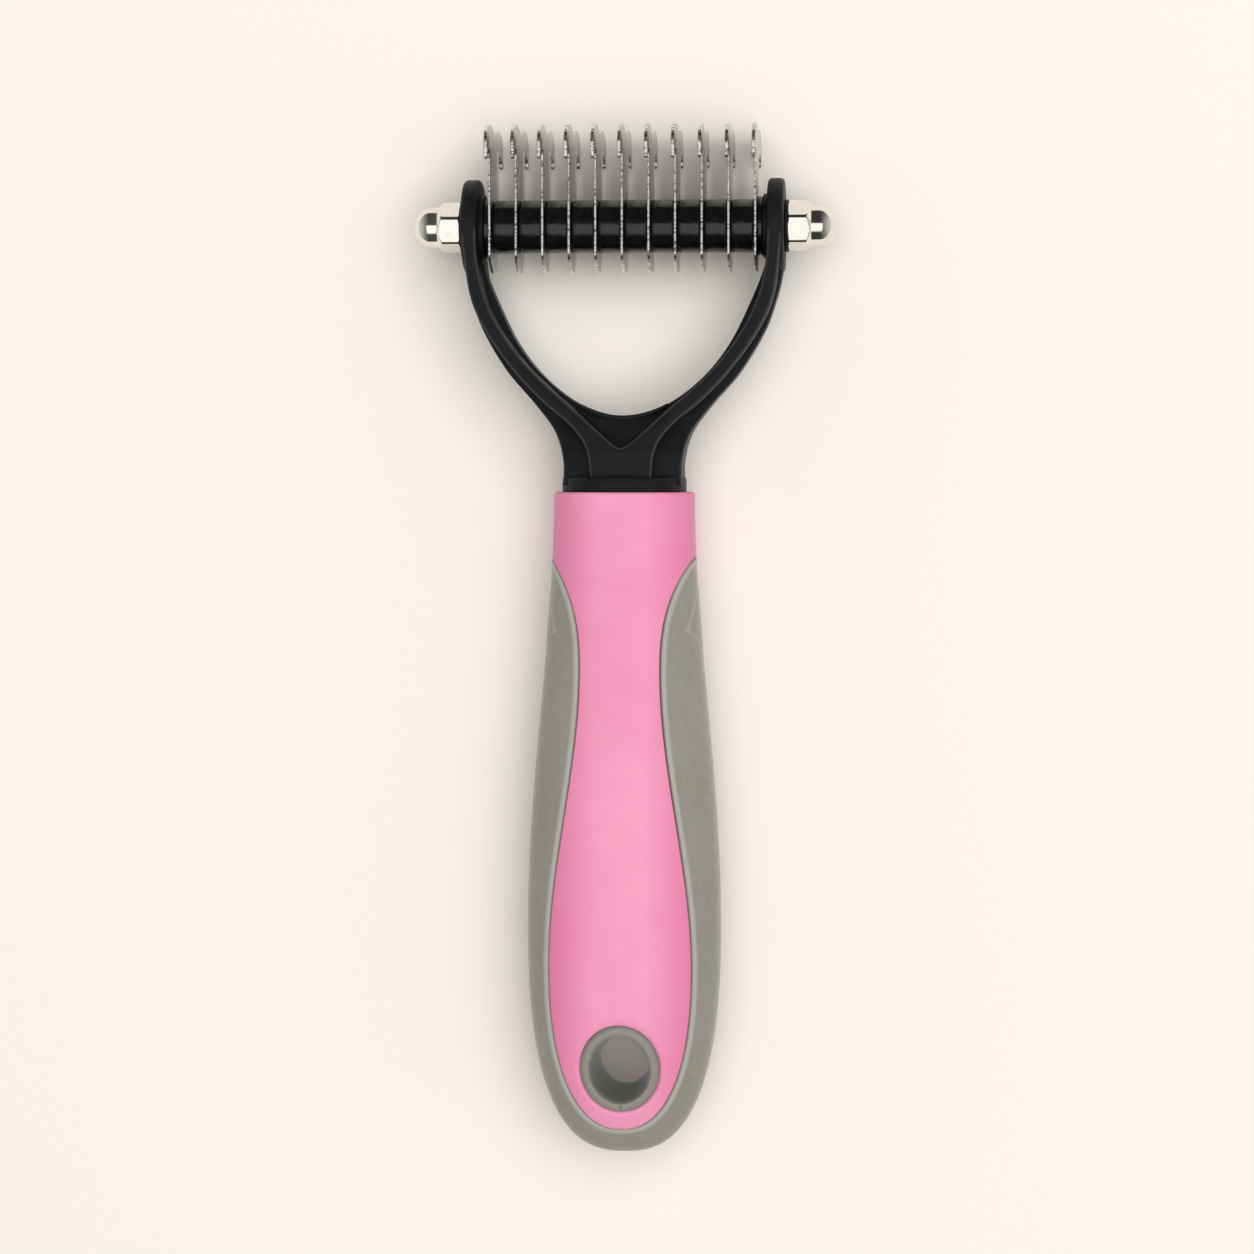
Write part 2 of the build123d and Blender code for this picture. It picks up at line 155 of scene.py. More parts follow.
def smooth_line(points: Sequence[tuple[float, float]], per_span: int = 10) -> list[Vector]:
    """Smooth open curve through flat points.

    Args:
        points: Points that the curve passes through.
        per_span: Points written for each span.

    Returns:
        The curve's points, both ends included.
    """
    pts = [Vector((x, y, 0)) for x, y in points]
    line = [pts[0]]
    for i in range(len(pts) - 1):
        before = pts[i - 1] if i else pts[i] * 2 - pts[i + 1]
        after = pts[i + 2] if i + 2 < len(pts) else pts[i + 1] * 2 - pts[i]
        span = (pts[i + 1] - pts[i]).length
        out = (pts[i + 1] - before).normalized() * span / 3
        into = (after - pts[i]).normalized() * span / 3
        line += interpolate_bezier(pts[i], pts[i] + out, pts[i + 1] - into, pts[i + 1], per_span + 1)[1:]
    return line


def plate(outline: Iterable[Vector], thickness: float) -> bmesh.types.BMesh:
    """Flat plate of an outline, drawn out to both sides of z = 0.

    Args:
        outline: Corners in order, anticlockwise seen from above.
        thickness: Whole thickness.

    Returns:
        A closed plate.
    """
    bm = bmesh.new()
    rim = [bm.verts.new(p) for p in outline]
    bm.faces.new(rim)
    bmesh.ops.translate(bm, verts=bm.verts, vec=(0, 0, -thickness / 2))
    grown = bmesh.ops.extrude_face_region(bm, geom=bm.faces[:])
    top = [g for g in grown["geom"] if isinstance(g, bmesh.types.BMVert)]
    bmesh.ops.translate(bm, verts=top, vec=(0, 0, thickness))
    bmesh.ops.recalc_face_normals(bm, faces=bm.faces)
    return bm


def round_flat_rims(bm: bmesh.types.BMesh, radius: float, segments: int, mark: str = "") -> None:
    """Bevel the edges where the two flat caps of a plate meet its side wall.

    Args:
        bm: The plate.
        radius: Size of the bevel.
        segments: Steps round the bevel.
        mark: Name of an attribute that is 1 along the middle of the bevel, or nothing for none.
    """
    layer = bm.verts.layers.float.new(mark) if mark else None
    rims = [
        e
        for e in bm.edges
        if len(e.link_faces) == 2 and sum(abs(f.normal.z) > 0.9 for f in e.link_faces) == 1
    ]
    rounded = bmesh.ops.bevel(
        bm,
        geom=rims,
        offset=radius,
        offset_type="OFFSET",
        segments=segments,
        profile=0.5,
        affect="EDGES",
        material=-1,
        clamp_overlap=True,
    )
    if layer is not None:
        slopes = set(rounded["faces"])
        for v in {v for face in slopes for v in face.verts}:
            v[layer] = float(all(face in slopes for face in v.link_faces))


def slice_along(bm: bmesh.types.BMesh, axis: int, low: float, high: float, step: float) -> None:
    """Cut a mesh by evenly spaced planes, so that it can be bent afterwards."""
    normal = Vector((0, 0, 0))
    normal[axis] = 1
    count = max(1, round((high - low) / step))
    for i in range(count + 1):
        at = Vector((0, 0, 0))
        at[axis] = low + (high - low) * i / count
        bmesh.ops.bisect_plane(
            bm, geom=bm.verts[:] + bm.edges[:] + bm.faces[:], dist=1e-5, plane_co=at, plane_no=normal
        )


def lathe(profile: Sequence[tuple[float, float]], steps: int = 96) -> bmesh.types.BMesh:
    """Turn a profile of (place along X, radius) about the X axis.

    Args:
        profile: Points of the profile; a closed loop where it returns to its first point.
        steps: Steps in the full turn.

    Returns:
        The turned mesh.
    """
    bm = bmesh.new()
    verts = [bm.verts.new((x, 0, r)) for x, r in profile]
    edges = [bm.edges.new(pair) for pair in zip(verts, verts[1:])]
    bmesh.ops.spin(
        bm,
        geom=verts + edges,
        cent=(0, 0, 0),
        axis=(1, 0, 0),
        angle=TURN,
        steps=steps,
        use_merge=True,
        use_normal_flip=False,
        use_duplicate=False,
    )
    bmesh.ops.remove_doubles(bm, verts=bm.verts, dist=1e-4)
    bmesh.ops.recalc_face_normals(bm, faces=bm.faces)
    return bm


def rounded_profile(
    corners: Sequence[tuple[float, float, float]], steps: int = 5
) -> list[tuple[float, float]]:
    """Closed profile with rounded corners.

    Args:
        corners: (along, radius, rounding) of each corner in order.
        steps: Points on each rounding.

    Returns:
        Points of the profile, ending on the first.
    """
    out: list[tuple[float, float]] = []
    count = len(corners)
    for i, (x, r, rounding) in enumerate(corners):
        here = Vector((x, r, 0))
        back = Vector((*corners[i - 1][:2], 0)) - here
        ahead = Vector((*corners[(i + 1) % count][:2], 0)) - here
        if rounding <= 0:
            out.append((x, r))
            continue
        start = here + back.normalized() * rounding
        end = here + ahead.normalized() * rounding
        reach = 0.55
        arc = interpolate_bezier(start, start.lerp(here, reach), end.lerp(here, reach), end, steps + 1)
        out += [(p.x, p.y) for p in arc]
    out.append(out[0])
    return out


def finish_piece(
    bm: bmesh.types.BMesh,
    name: str,
    material: bpy.types.Material,
    body: str,
    sharp_deg: float = 38.0,
) -> bpy.types.Object:
    """Scale a mesh to metres, shade it, dress it and let it ride on a body of the frame.

    Args:
        bm: The mesh in millimetres; it is used up.
        name: Name of the new piece.
        material: Its finish.
        body: Body of the frame it moves with.
        sharp_deg: Edges sharper than this stay crisp.

    Returns:
        The new object.
    """
    bmesh.ops.transform(bm, matrix=Matrix.Scale(MM, 4), verts=bm.verts)
    for f in bm.faces:
        f.smooth = True
    mesh = bpy.data.meshes.new(name)
    bm.to_mesh(mesh)
    bm.free()
    mesh.set_sharp_from_angle(angle=math.radians(sharp_deg))
    mesh.materials.append(material)
    piece = bpy.data.objects.new(name, mesh)
    bpy.context.scene.collection.objects.link(piece)
    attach(piece, body)
    log.info("%s: %d faces", name, len(mesh.polygons))
    return piece


# ---------------------------------------------------------------- finishes
class Graph:
    """Small helper that writes a material's nodes."""

    def __init__(self, name: str) -> None:
        """Start a material with one surface shader."""
        self.material = bpy.data.materials.new(name)
        self.material.use_nodes = True
        self.tree = self.material.node_tree
        self.tree.nodes.clear()
        self.output = self.add("ShaderNodeOutputMaterial")
        self.shader = self.add("ShaderNodeBsdfPrincipled")
        self.tree.links.new(self.shader.outputs[0], self.output.inputs["Surface"])
        self.coords = self.add("ShaderNodeTexCoord")

    def add(self, kind: str, **settings: object) -> bpy.types.Node:
        """Add a node and set its plain properties."""
        node = self.tree.nodes.new(kind)
        for key, value in settings.items():
            setattr(node, key, value)
        return node

    def link(self, source: object, target: object) -> None:
        """Join an output to an input."""
        self.tree.links.new(source, target)

    def feed(self, socket: str, source: object) -> None:
        """Join an output to a named socket of the surface shader."""
        self.link(source, self.shader.inputs[socket])

    def attribute(self, name: str) -> object:
        """Value of one of the piece's own attributes, 0 where the piece has none."""
        return self.add("ShaderNodeAttribute", attribute_name=name).outputs["Fac"]

    def set(self, **values: object) -> None:
        """Set sockets of the surface shader by name, an underscore for each space."""
        for key, value in values.items():
            self.shader.inputs[key.replace("_", " ")].default_value = value

    def across(self) -> object:
        """Object X coordinate, in metres."""
        parts = self.add("ShaderNodeSeparateXYZ")
        self.link(self.coords.outputs["Object"], parts.inputs["Vector"])
        return parts.outputs["X"]

    def scaled(self, scale: tuple[float, float, float], turn_z: float = 0.0) -> object:
        """Object coordinates, stretched and turned about Z."""
        mapping = self.add("ShaderNodeMapping")
        mapping.inputs["Scale"].default_value = scale
        mapping.inputs["Rotation"].default_value = (0, 0, turn_z)
        self.link(self.coords.outputs["Object"], mapping.inputs["Vector"])
        return mapping.outputs["Vector"]

    def noise(
        self,
        per_mm: float,
        detail: float = 3.0,
        rough: float = 0.55,
        stretch: tuple[float, float, float] = (1, 1, 1),
    ) -> object:
        """Noise with about per_mm features in a millimetre.

        Args:
            per_mm: Features in a millimetre.
            detail: Octaves.
            rough: Strength of the finer octaves.
            stretch: Scale of each axis.

        Returns:
            The noise's grey output.
        """
        node = self.add("ShaderNodeTexNoise")
        node.inputs["Scale"].default_value = per_mm / MM
        node.inputs["Detail"].default_value = detail
        node.inputs["Roughness"].default_value = rough
        self.link(self.scaled(stretch), node.inputs["Vector"])
        return node.outputs["Fac"]

    def math(self, operation: str, a: object, b: object = 0.0, clamp: bool = False) -> object:
        """One step of arithmetic on outputs or numbers."""
        node = self.add("ShaderNodeMath", operation=operation, use_clamp=clamp)
        for socket, value in zip(node.inputs, (a, b)):
            if isinstance(value, (int, float)):
                socket.default_value = value
            else:
                self.link(value, socket)
        return node.outputs[0]

    def ranged(self, value: object, low: float, high: float, to_low: float, to_high: float) -> object:
        """Map a value from one range to another, clamped."""
        node = self.add("ShaderNodeMapRange")
        self.link(value, node.inputs["Value"])
        for key, number in (("From Min", low), ("From Max", high), ("To Min", to_low), ("To Max", to_high)):
            node.inputs[key].default_value = number
        return node.outputs["Result"]

    def mixed(self, factor: object, a: object, b: object, blend: str = "MIX") -> object:
        """Mix two colours.

        Args:
            factor: Share of the second colour.
            a: First colour, four numbers or an output.
            b: Second colour, four numbers or an output.
            blend: Way of mixing.

        Returns:
            The mixed colour.
        """
        node = self.add("ShaderNodeMix", data_type="RGBA", blend_type=blend)
        for index, value in ((0, factor), (6, a), (7, b)):
            socket = node.inputs[index]
            if isinstance(value, (int, float, tuple)):
                socket.default_value = value
            else:
                self.link(value, socket)
        return node.outputs[2]

    def bump(self, height: object, distance_mm: float, strength: float = 1.0, below: object = None) -> object:
        """Bump from a height, over an earlier bump if one is given."""
        node = self.add("ShaderNodeBump")
        node.inputs["Strength"].default_value = strength
        node.inputs["Distance"].default_value = distance_mm * MM
        self.link(height, node.inputs["Height"])
        if below is not None:
            self.link(below, node.inputs["Normal"])
        return node.outputs["Normal"]


def rgb(red: float, green: float, blue: float) -> tuple[float, float, float, float]:
    """Colour with full alpha, from display values of 0 to 255."""

    def linear(c: float) -> float:
        """One channel from display to linear light."""
        c /= 255
        return c / 12.92 if c <= 0.04045 else ((c + 0.055) / 1.055) ** 2.4

    return (linear(red), linear(green), linear(blue), 1.0)


@dataclass(frozen=True)
class HardShellFinish:
    """Satin hard plastic of the handle's core, with faint flow clouds, fine scuffs and painted shade that
    darkens its flanks.
    """

    # Painted shade: between these distances from the middle the pink turns to the darker flank colour.
    flank_shade_start: float = 4.2 * MM
    flank_shade_end: float = 11.8 * MM
    colour: tuple[float, float, float, float] = rgb(233, 153, 186)
    deep: tuple[float, float, float, float] = rgb(225, 138, 174)
    flank_shade: tuple[float, float, float, float] = rgb(218, 120, 161)
    roughness: float = 0.42

    def material(self) -> bpy.types.Material:
        """Build the finish."""
        g = Graph("hard_shell")
        clouds = g.noise(0.06, 4.0, 0.6)
        tone = g.mixed(g.ranged(clouds, 0.35, 0.65, 0.3, 1.0), self.deep, self.colour)
        # Painted shade: the pink deepens with distance from the middle, so the flanks look darker.
        off_middle = g.math("ABSOLUTE", g.across(), 0.0)
        flank_shade = g.ranged(off_middle, self.flank_shade_start, self.flank_shade_end, 0.0, 1.0)
        g.feed("Base Color", g.mixed(flank_shade, tone, self.flank_shade))
        scuff = g.noise(0.9, 2.0, 0.5, (1, 0.15, 1))
        g.feed("Roughness", g.ranged(scuff, 0.3, 0.75, self.roughness - 0.05, self.roughness + 0.08))
        orange_peel = g.bump(g.noise(1.6, 2.0), 0.012, 0.5)
        g.feed("Normal", g.bump(g.noise(9.0, 1.0), 0.003, 0.5, orange_peel))
        g.set(IOR=1.5, Specular_IOR_Level=0.45, Subsurface_Weight=0.06, Subsurface_Scale=0.002)
        g.set(Subsurface_Radius=(1.0, 0.5, 0.4))
        return g.material


@dataclass(frozen=True)
class SoftGripFinish:
    """Matte grey soft rubber with a warm and cool drift, rubbed patches, a fine grain, a painted highlight
    along the pad creases and painted shade inside the hanging hole.
    """

    cool: tuple[float, float, float, float] = rgb(139, 139, 133)
    warm: tuple[float, float, float, float] = rgb(136, 131, 121)
    roughness: float = 0.62

    def material(self) -> bpy.types.Material:
        """Build the finish."""
        g = Graph("soft_grip")
        drift = g.noise(0.05, 2.0, 0.5)
        patch = g.noise(0.7, 4.0, 0.65)
        tone = g.mixed(g.ranged(drift, 0.3, 0.7, 0.0, 1.0), self.cool, self.warm)
        worn = g.mixed(g.ranged(patch, 0.5, 0.75, 0.0, 0.25), tone, rgb(162, 160, 153))
        lip = g.attribute("grip_lip")
        lipped = g.mixed(g.math("MULTIPLY", lip, 0.6), worn, rgb(178, 181, 170))
        # Painted highlight: a pale grey is mixed in along the crease round each finger pad.
        crease_and_highlight = g.attribute("pad_crease")
        crease_highlighted = g.mixed(g.math("MULTIPLY", crease_and_highlight, 0.35), lipped, rgb(190, 190, 182))
        # Painted shade: the wall inside the hanging hole is mixed towards a dark grey.
        painted_hole_shade = g.attribute("hole_wall_shade")
        g.feed("Base Color", g.mixed(g.math("MULTIPLY", painted_hole_shade, 0.85), crease_highlighted, rgb(88, 85, 79)))
        g.feed("Roughness", g.ranged(patch, 0.3, 0.7, self.roughness + 0.08, self.roughness - 0.06))
        soft = g.bump(g.noise(0.8, 3.0), 0.03, 0.4)
        g.feed("Normal", g.bump(g.noise(7.0, 2.0), 0.006, 0.6, soft))
        g.set(IOR=1.5, Specular_IOR_Level=0.35, Sheen_Weight=0.35, Sheen_Roughness=0.4)
        g.set(Sheen_Tint=(0.9, 0.96, 1.0, 1.0))
        return g.material


@dataclass(frozen=True)
class BlackNylonFinish:
    """Satin black nylon of the fork, a little blue, with moulding grain, fine scratches and a painted
    highlight along the rib edges.
    """

    colour: tuple[float, float, float, float] = (0.0065, 0.0072, 0.0080, 1.0)
    roughness: float = 0.46

    def material(self) -> bpy.types.Material:
        """Build the finish."""
        g = Graph("black_nylon")
        cloud = g.noise(0.25, 4.0, 0.6)
        tone = g.mixed(g.ranged(cloud, 0.35, 0.7, 0.0, 1.0), self.colour, (0.010, 0.0112, 0.0122, 1.0))
        dust = g.noise(2.2, 3.0, 0.7)
        dusty = g.mixed(g.ranged(dust, 0.66, 0.8, 0.0, 0.5), tone, (0.03, 0.032, 0.034, 1.0))
        # Painted highlight: a lighter grey along the middle of the ribs' rounded edges.
        painted_edge_highlight = g.math("MULTIPLY", g.attribute("rib_edge_highlight"), 0.7)
        g.feed("Base Color", g.mixed(painted_edge_highlight, dusty, (0.05, 0.051, 0.052, 1.0)))
        g.feed("Roughness", g.ranged(cloud, 0.3, 0.7, self.roughness - 0.08, self.roughness + 0.1))
        grain = g.bump(g.noise(5.0, 2.0, 0.6), 0.014, 0.7)
        g.feed("Normal", g.bump(g.noise(1.0, 2.0, 0.5, (1, 0.3, 1)), 0.02, 0.4, grain))
        g.set(IOR=1.45, Specular_IOR_Level=0.2)
        return g.material


@dataclass(frozen=True)
class GlossSleeveFinish:
    """Glossy black plastic of the spacers, with a soft turned ripple."""

    colour: tuple[float, float, float, float] = (0.0035, 0.0037, 0.004, 1.0)
    roughness: float = 0.15

    def material(self) -> bpy.types.Material:
        """Build the finish."""
        g = Graph("gloss_sleeve")
        smear = g.noise(0.8, 3.0, 0.6)
        g.feed(
            "Base Color",
            g.mixed(g.ranged(smear, 0.4, 0.7, 0, 1), self.colour, (0.006, 0.0062, 0.0066, 1.0)),
        )
        g.feed("Roughness", g.ranged(smear, 0.3, 0.7, self.roughness - 0.06, self.roughness + 0.12))
        ripple = g.bump(g.noise(0.9, 2.0, 0.5, (1, 1, 1)), 0.06, 0.5)
        g.feed("Normal", g.bump(g.noise(6.0, 1.0), 0.004, 0.5, ripple))
        g.set(IOR=1.5, Specular_IOR_Level=0.5)
        return g.material


@dataclass(frozen=True)
class BladeSteelFinish:
    """Polished stainless plate, finely ground along its length, with a torn, spotted punched rim and a
    painted reflection on the ground flats.
    """

    colour: tuple[float, float, float, float] = (0.56, 0.55, 0.53, 1.0)
    roughness: float = 0.2

    def material(self) -> bpy.types.Material:
        """Build the finish; the rim is told from the faces by the attribute punched_rim."""
        g = Graph("blade_steel")
        rim = g.attribute("punched_rim")
        grind = g.noise(2.5, 3.0, 0.7, (1, 0.08, 1))
        cloud = g.noise(0.22, 3.0, 0.6)
        spots = g.noise(3.0, 2.0, 0.6, (0.4, 1, 1))
        plain = g.mixed(g.ranged(cloud, 0.35, 0.65, 0.0, 1.0), self.colour, (0.44, 0.43, 0.41, 1.0))
        # Painted reflection: the ground flats get a much brighter steel colour.
        ground = g.attribute("ground_flat_reflection")
        face = g.mixed(ground, plain, (0.86, 0.87, 0.87, 1.0))
        torn = g.mixed(g.ranged(spots, 0.5, 0.62, 0.0, 1.0), (0.82, 0.82, 0.8, 1.0), (0.16, 0.16, 0.16, 1.0))
        g.feed("Base Color", g.mixed(rim, face, torn))
        ground = g.ranged(grind, 0.3, 0.7, self.roughness, self.roughness + 0.12)
        g.feed("Roughness", g.math("ADD", ground, g.math("MULTIPLY", rim, 0.08)))
        lines = g.bump(grind, 0.004, 0.6)
        g.feed("Normal", g.bump(g.math("MULTIPLY", spots, rim), 0.03, 0.6, lines))
        g.set(Metallic=1.0, Anisotropic=0.35)
        return g.material


@dataclass(frozen=True)
class TurnedSteelFinish:
    """Plain bright steel of the threaded rod."""

    colour: tuple[float, float, float, float] = (0.58, 0.57, 0.55, 1.0)
    roughness: float = 0.3

    def material(self) -> bpy.types.Material:
        """Build the finish."""
        g = Graph("turned_steel")
        streak = g.noise(1.5, 3.0, 0.6, (4, 1, 1))
        g.feed("Base Color", g.mixed(g.ranged(streak, 0.35, 0.65, 0, 1), self.colour, (0.42, 0.41, 0.4, 1)))
        g.feed("Roughness", g.ranged(streak, 0.3, 0.7, self.roughness - 0.05, self.roughness + 0.1))
        g.feed("Normal", g.bump(streak, 0.01, 0.5))
        g.set(Metallic=1.0)
        return g.material


@dataclass(frozen=True)
class BrightPlatingFinish:
    """Bright nickel plating of the cap nuts, with a slight warm cast and handling marks."""

    colour: tuple[float, float, float, float] = (0.86, 0.83, 0.78, 1.0)
    roughness: float = 0.07

    def material(self) -> bpy.types.Material:
        """Build the finish."""
        g = Graph("bright_plating")
        haze = g.noise(0.8, 4.0, 0.7)
        g.feed("Base Color", g.mixed(g.ranged(haze, 0.4, 0.7, 0, 1), self.colour, (0.78, 0.75, 0.7, 1)))
        g.feed("Roughness", g.ranged(haze, 0.4, 0.75, self.roughness, self.roughness + 0.13))
        g.feed("Normal", g.bump(g.noise(1.2, 2.0), 0.01, 0.35))
        g.set(Metallic=1.0)
        return g.material


@dataclass(frozen=True)
class TableFinish:
    """Plain warm white table top."""

    colour: tuple[float, float, float, float] = (0.842, 0.806, 0.762, 1.0)

    def material(self) -> bpy.types.Material:
        """Build the finish."""
        g = Graph("table_top")
        g.set(Base_Color=self.colour, Roughness=0.9, Specular_IOR_Level=0.1)
        return g.material


@dataclass
class FinishSet:
    """All finishes of the rake, one for each slot of the record."""

    shell: bpy.types.Material = field(default_factory=lambda: HardShellFinish().material())
    grip: bpy.types.Material = field(default_factory=lambda: SoftGripFinish().material())
    nylon: bpy.types.Material = field(default_factory=lambda: BlackNylonFinish().material())
    sleeve: bpy.types.Material = field(default_factory=lambda: GlossSleeveFinish().material())
    blade: bpy.types.Material = field(default_factory=lambda: BladeSteelFinish().material())
    axle: bpy.types.Material = field(default_factory=lambda: TurnedSteelFinish().material())
    nut: bpy.types.Material = field(default_factory=lambda: BrightPlatingFinish().material())


# ---------------------------------------------------------------- handle
@dataclass
class Handle:
    """Hard core, soft grip and hanging-hole liner, as one family of oval sections along Y."""

    sizes: RakeSizes
    finishes: FinishSet
    rim_half_width: float = 11.9
    rim_half_depth: float = 10.2
    belly_station: float = 0.649
    squareness: float = 2.5
    butt_squareness: float = 2.6
    panel_start: float = 0.088
    waist_station: float = 0.265
    full_station: float = 0.708
    panel_end: float = 0.957
    panel_waist: float = 6.9
    panel_full: float = 12.2
    start_power: float = 2.5
    end_power: float = 2.3
    seam: float = 0.12
    shell_wall: float = 1.25
    grip_wall: float = 1.6
    edge_steps: tuple[float, ...] = (0.0, 0.06, 0.13, 0.22, 0.33, 0.47, 0.65, 0.9, 1.2)
    edge_rounding: float = 0.34
    rim_rounding: float = 0.5
    hole_seat: tuple[float, float] = (6.95, 7.65)
    land_radius: float = 4.35
    land_half: float = 2.0
    mouth: tuple[float, float] = (5.15, 5.9)
    pad_top: float = 0.143
    pad_end: float = 0.232
    pad_half_height: float = 6.7
    pad_sink: float = 0.1
    pad_crease: float = 0.09
    pad_bow: float = 0.72
    pad_taper: float = 1.2
    crease_width: float = 0.32
    pad_slope: float = 1.2
    pad_rows: int = 24
    pad_row_shift: float = 0.37
    # Start, fade and reach of the painted shade on the wall inside the hanging hole.
    hole_shade_start: float = 0.3
    hole_shade_fade: float = 1.2
    hole_shade_reach: float = 1.04
    grip_lip: float = 0.09

    @property
    def length(self) -> float:
        """Rim to butt."""
        return self.sizes.rim_y - self.sizes.butt_y

    def rounded_end(self, v: float, power: float) -> float:
        """Quarter superellipse: 1 at v = 0, 0 at v = 1."""
        return max(0.0, 1 - min(max(v, 0.0), 1.0) ** power) ** (1 / power)

    def smoothstep(self, u: float) -> float:
        """Run from 0 to 1 with level ends."""
        u = min(max(u, 0.0), 1.0)
        return u * u * (3 - 2 * u)

    def halves(self, t: float) -> tuple[float, float]:
        """Half width and half depth at a share t of the length from the rim."""
        belly = (self.sizes.belly_half_width, self.sizes.belly_half_depth)
        rim = (self.rim_half_width, self.rim_half_depth)
        if t <= self.belly_station:
            s = self.smoothstep(t / self.belly_station)
            return rim[0] + (belly[0] - rim[0]) * s, rim[1] + (belly[1] - rim[1]) * s
        s = self.rounded_end((t - self.belly_station) / (1 - self.belly_station), self.butt_squareness)
        return belly[0] * s, belly[1] * s

    def panel_half(self, t: float) -> float:
        """Half width of the bare panel at a share t of the length from the rim."""
        if t <= self.waist_station:
            start = self.halves(self.panel_start)[0] + 1.0
            u = max(0.0, self.waist_station - t) / (self.waist_station - self.panel_start)
            return self.panel_waist + (start - self.panel_waist) * u**self.start_power
        if t <= self.full_station:
            s = self.smoothstep((t - self.waist_station) / (self.full_station - self.waist_station))
            return self.panel_waist + (self.panel_full - self.panel_waist) * s
        v = (t - self.full_station) / (self.panel_end - self.full_station)
        return self.panel_full * self.rounded_end(v, self.end_power)

    def split_angle(self, t: float, spread: float) -> float:
        """Angle from the side where the panel's edge, widened by spread, meets the section at t."""
        reach = max(0.0, self.panel_half(t) + spread) / max(self.halves(t)[0], 1e-6)
        if t < self.panel_start or reach >= 1:
            return 0.0
        return math.acos(reach ** (self.squareness / 2))

    def first_split(self, spread: float) -> float:
        """Share of the length where the soft grip begins at the handle's side."""
        low, high = self.panel_start, self.waist_station
        for _ in range(40):
            middle = (low + high) / 2
            if self.split_angle(middle, spread) > 0:
                high = middle
            else:
                low = middle
        return high

    def height_at(self, x: float, y: float) -> float:
        """Height of the front surface over the middle plane."""
        half_width, half_depth = self.halves((self.sizes.rim_y - y) / self.length)
        inside = 1 - (abs(x) / max(half_width, 1e-6)) ** self.squareness
        return half_depth * max(0.0, inside) ** (1 / self.squareness)

    def arc(self, t: float, a0: float, a1: float) -> tuple[np.ndarray, np.ndarray, np.ndarray]:
        """Stretch of the section at t between two angles.

        Args:
            t: Share of the length from the rim.
            a0: First angle.
            a1: Last angle.

        Returns:
            Running length, x and z of its points.
        """
        half_width, half_depth = self.halves(t)
        a = np.linspace(a0, a1, 181)
        c, s = np.cos(a), np.sin(a)
        x = half_width * np.sign(c) * np.abs(c) ** (2 / self.squareness)
        z = half_depth * np.sign(s) * np.abs(s) ** (2 / self.squareness)
        run = np.concatenate([[0.0], np.cumsum(np.hypot(np.diff(x), np.diff(z)))])
        return run, x, z

    def columns(self, total: float, count: int) -> np.ndarray:
        """Running lengths of the columns across a sheet, closest together at its edges."""
        steps = np.array(self.edge_steps)
        steps = steps * min(1.0, total / (2.3 * steps[-1]))
        inner = np.linspace(steps[-1], total - steps[-1], count + 1 - 2 * (len(steps) - 1))
        return np.concatenate([steps[:-1], inner, (total - steps[:-1])[::-1]])

    def skin(
        self, across: int, stations: Sequence[float], span: Callable[[float], tuple[float, float]]
    ) -> bmesh.types.BMesh:
        """Sheet over the oval sections at some stations.

        Args:
            across: Cells across.
            stations: Shares of the length, from the rim.
            span: Gives the first and last angle at a station.

        Returns:
            The mesh, lying about z = 0.
        """
        rows = []
        for t in stations:
            run, x, z = self.arc(t, *span(t))
            at = self.columns(run[-1], across)
            rows.append((np.interp(at, run, x), self.sizes.rim_y - t * self.length, np.interp(at, run, z)))

        def place(u: float, v: float) -> Vector:
            """Point of the surface at its two shares."""
            x, y, z = rows[round(v * (len(rows) - 1))]
            k = round(u * across)
            return Vector((x[k], y, z[k]))

        return sheet(across, len(rows) - 1, place)

    def ease_edges(self, bm: bmesh.types.BMesh, wall: float, layer_name: str, lip: float = 0.0) -> None:
        """Give a skin its wall and roll its outer edges over.

        Args:
            bm: The open skin, normals outward.
            wall: Thickness of the wall, grown inward.
            layer_name: Vertex layer that stores how near the edge a point is.
            lip: Height of the raised lip along the edge.
        """
        near = bm.verts.layers.float.new(layer_name)
        edge_verts = [v for v in bm.verts if v.is_boundary]
        tree = KDTree(len(edge_verts))
        for i, v in enumerate(edge_verts):
            tree.insert(v.co, i)
        tree.balance()
        moves = {}
        for v in bm.verts:
            spot, _, distance = tree.find(v.co)
            at_rim = abs(spot.y - self.sizes.rim_y) < 0.01
            radius = self.rim_rounding if at_rim else self.edge_rounding
            v[near] = 0.0 if at_rim else 1 - self.smoothstep((distance - 0.55) / 0.5)
            raised = lip * v[near]
            rolled = math.sqrt(radius**2 - (radius - distance) ** 2) - radius if distance < radius else 0.0
            moves[v] = v.normal * (raised + rolled)
        outer = list(bm.verts)
        bmesh.ops.solidify(bm, geom=bm.faces[:], thickness=wall)
        for v in bm.verts:
            if v not in moves and v.is_valid and v not in outer:
                v[near] = 0.0
        for v, move in moves.items():
            v.co += move

    def open_hole(self, bm: bmesh.types.BMesh) -> None:
        """Cut the oval seat of the liner through the front skin and shape the mesh round it."""
        rx, ry = self.hole_seat
        centre = Vector((0, self.sizes.hole_y, 0))

        def share(p: Vector) -> float:
            """Distance from the hole's centre, 1 on its oval edge."""
            return math.hypot((p.x - centre.x) / rx, (p.y - centre.y) / ry)

        inside = [f for f in bm.faces if share(f.calc_center_median()) < 1.0]
        bmesh.ops.delete(bm, geom=inside, context="FACES")
        loop = [v for v in bm.verts if v.is_boundary and share(v.co) < 1.3]
        for v in loop:
            s = share(v.co)
            v.co.x /= s
            v.co.y = centre.y + (v.co.y - centre.y) / s
        around = [v for v in bm.verts if share(v.co) < 1.4 and not v.is_boundary]
        for _ in range(12):
            flat = {"use_axis_x": True, "use_axis_y": True, "use_axis_z": False}
            bmesh.ops.smooth_vert(bm, verts=around, factor=0.5, **flat)
        for v in around + loop:
            v.co.z = self.height_at(v.co.x, v.co.y)

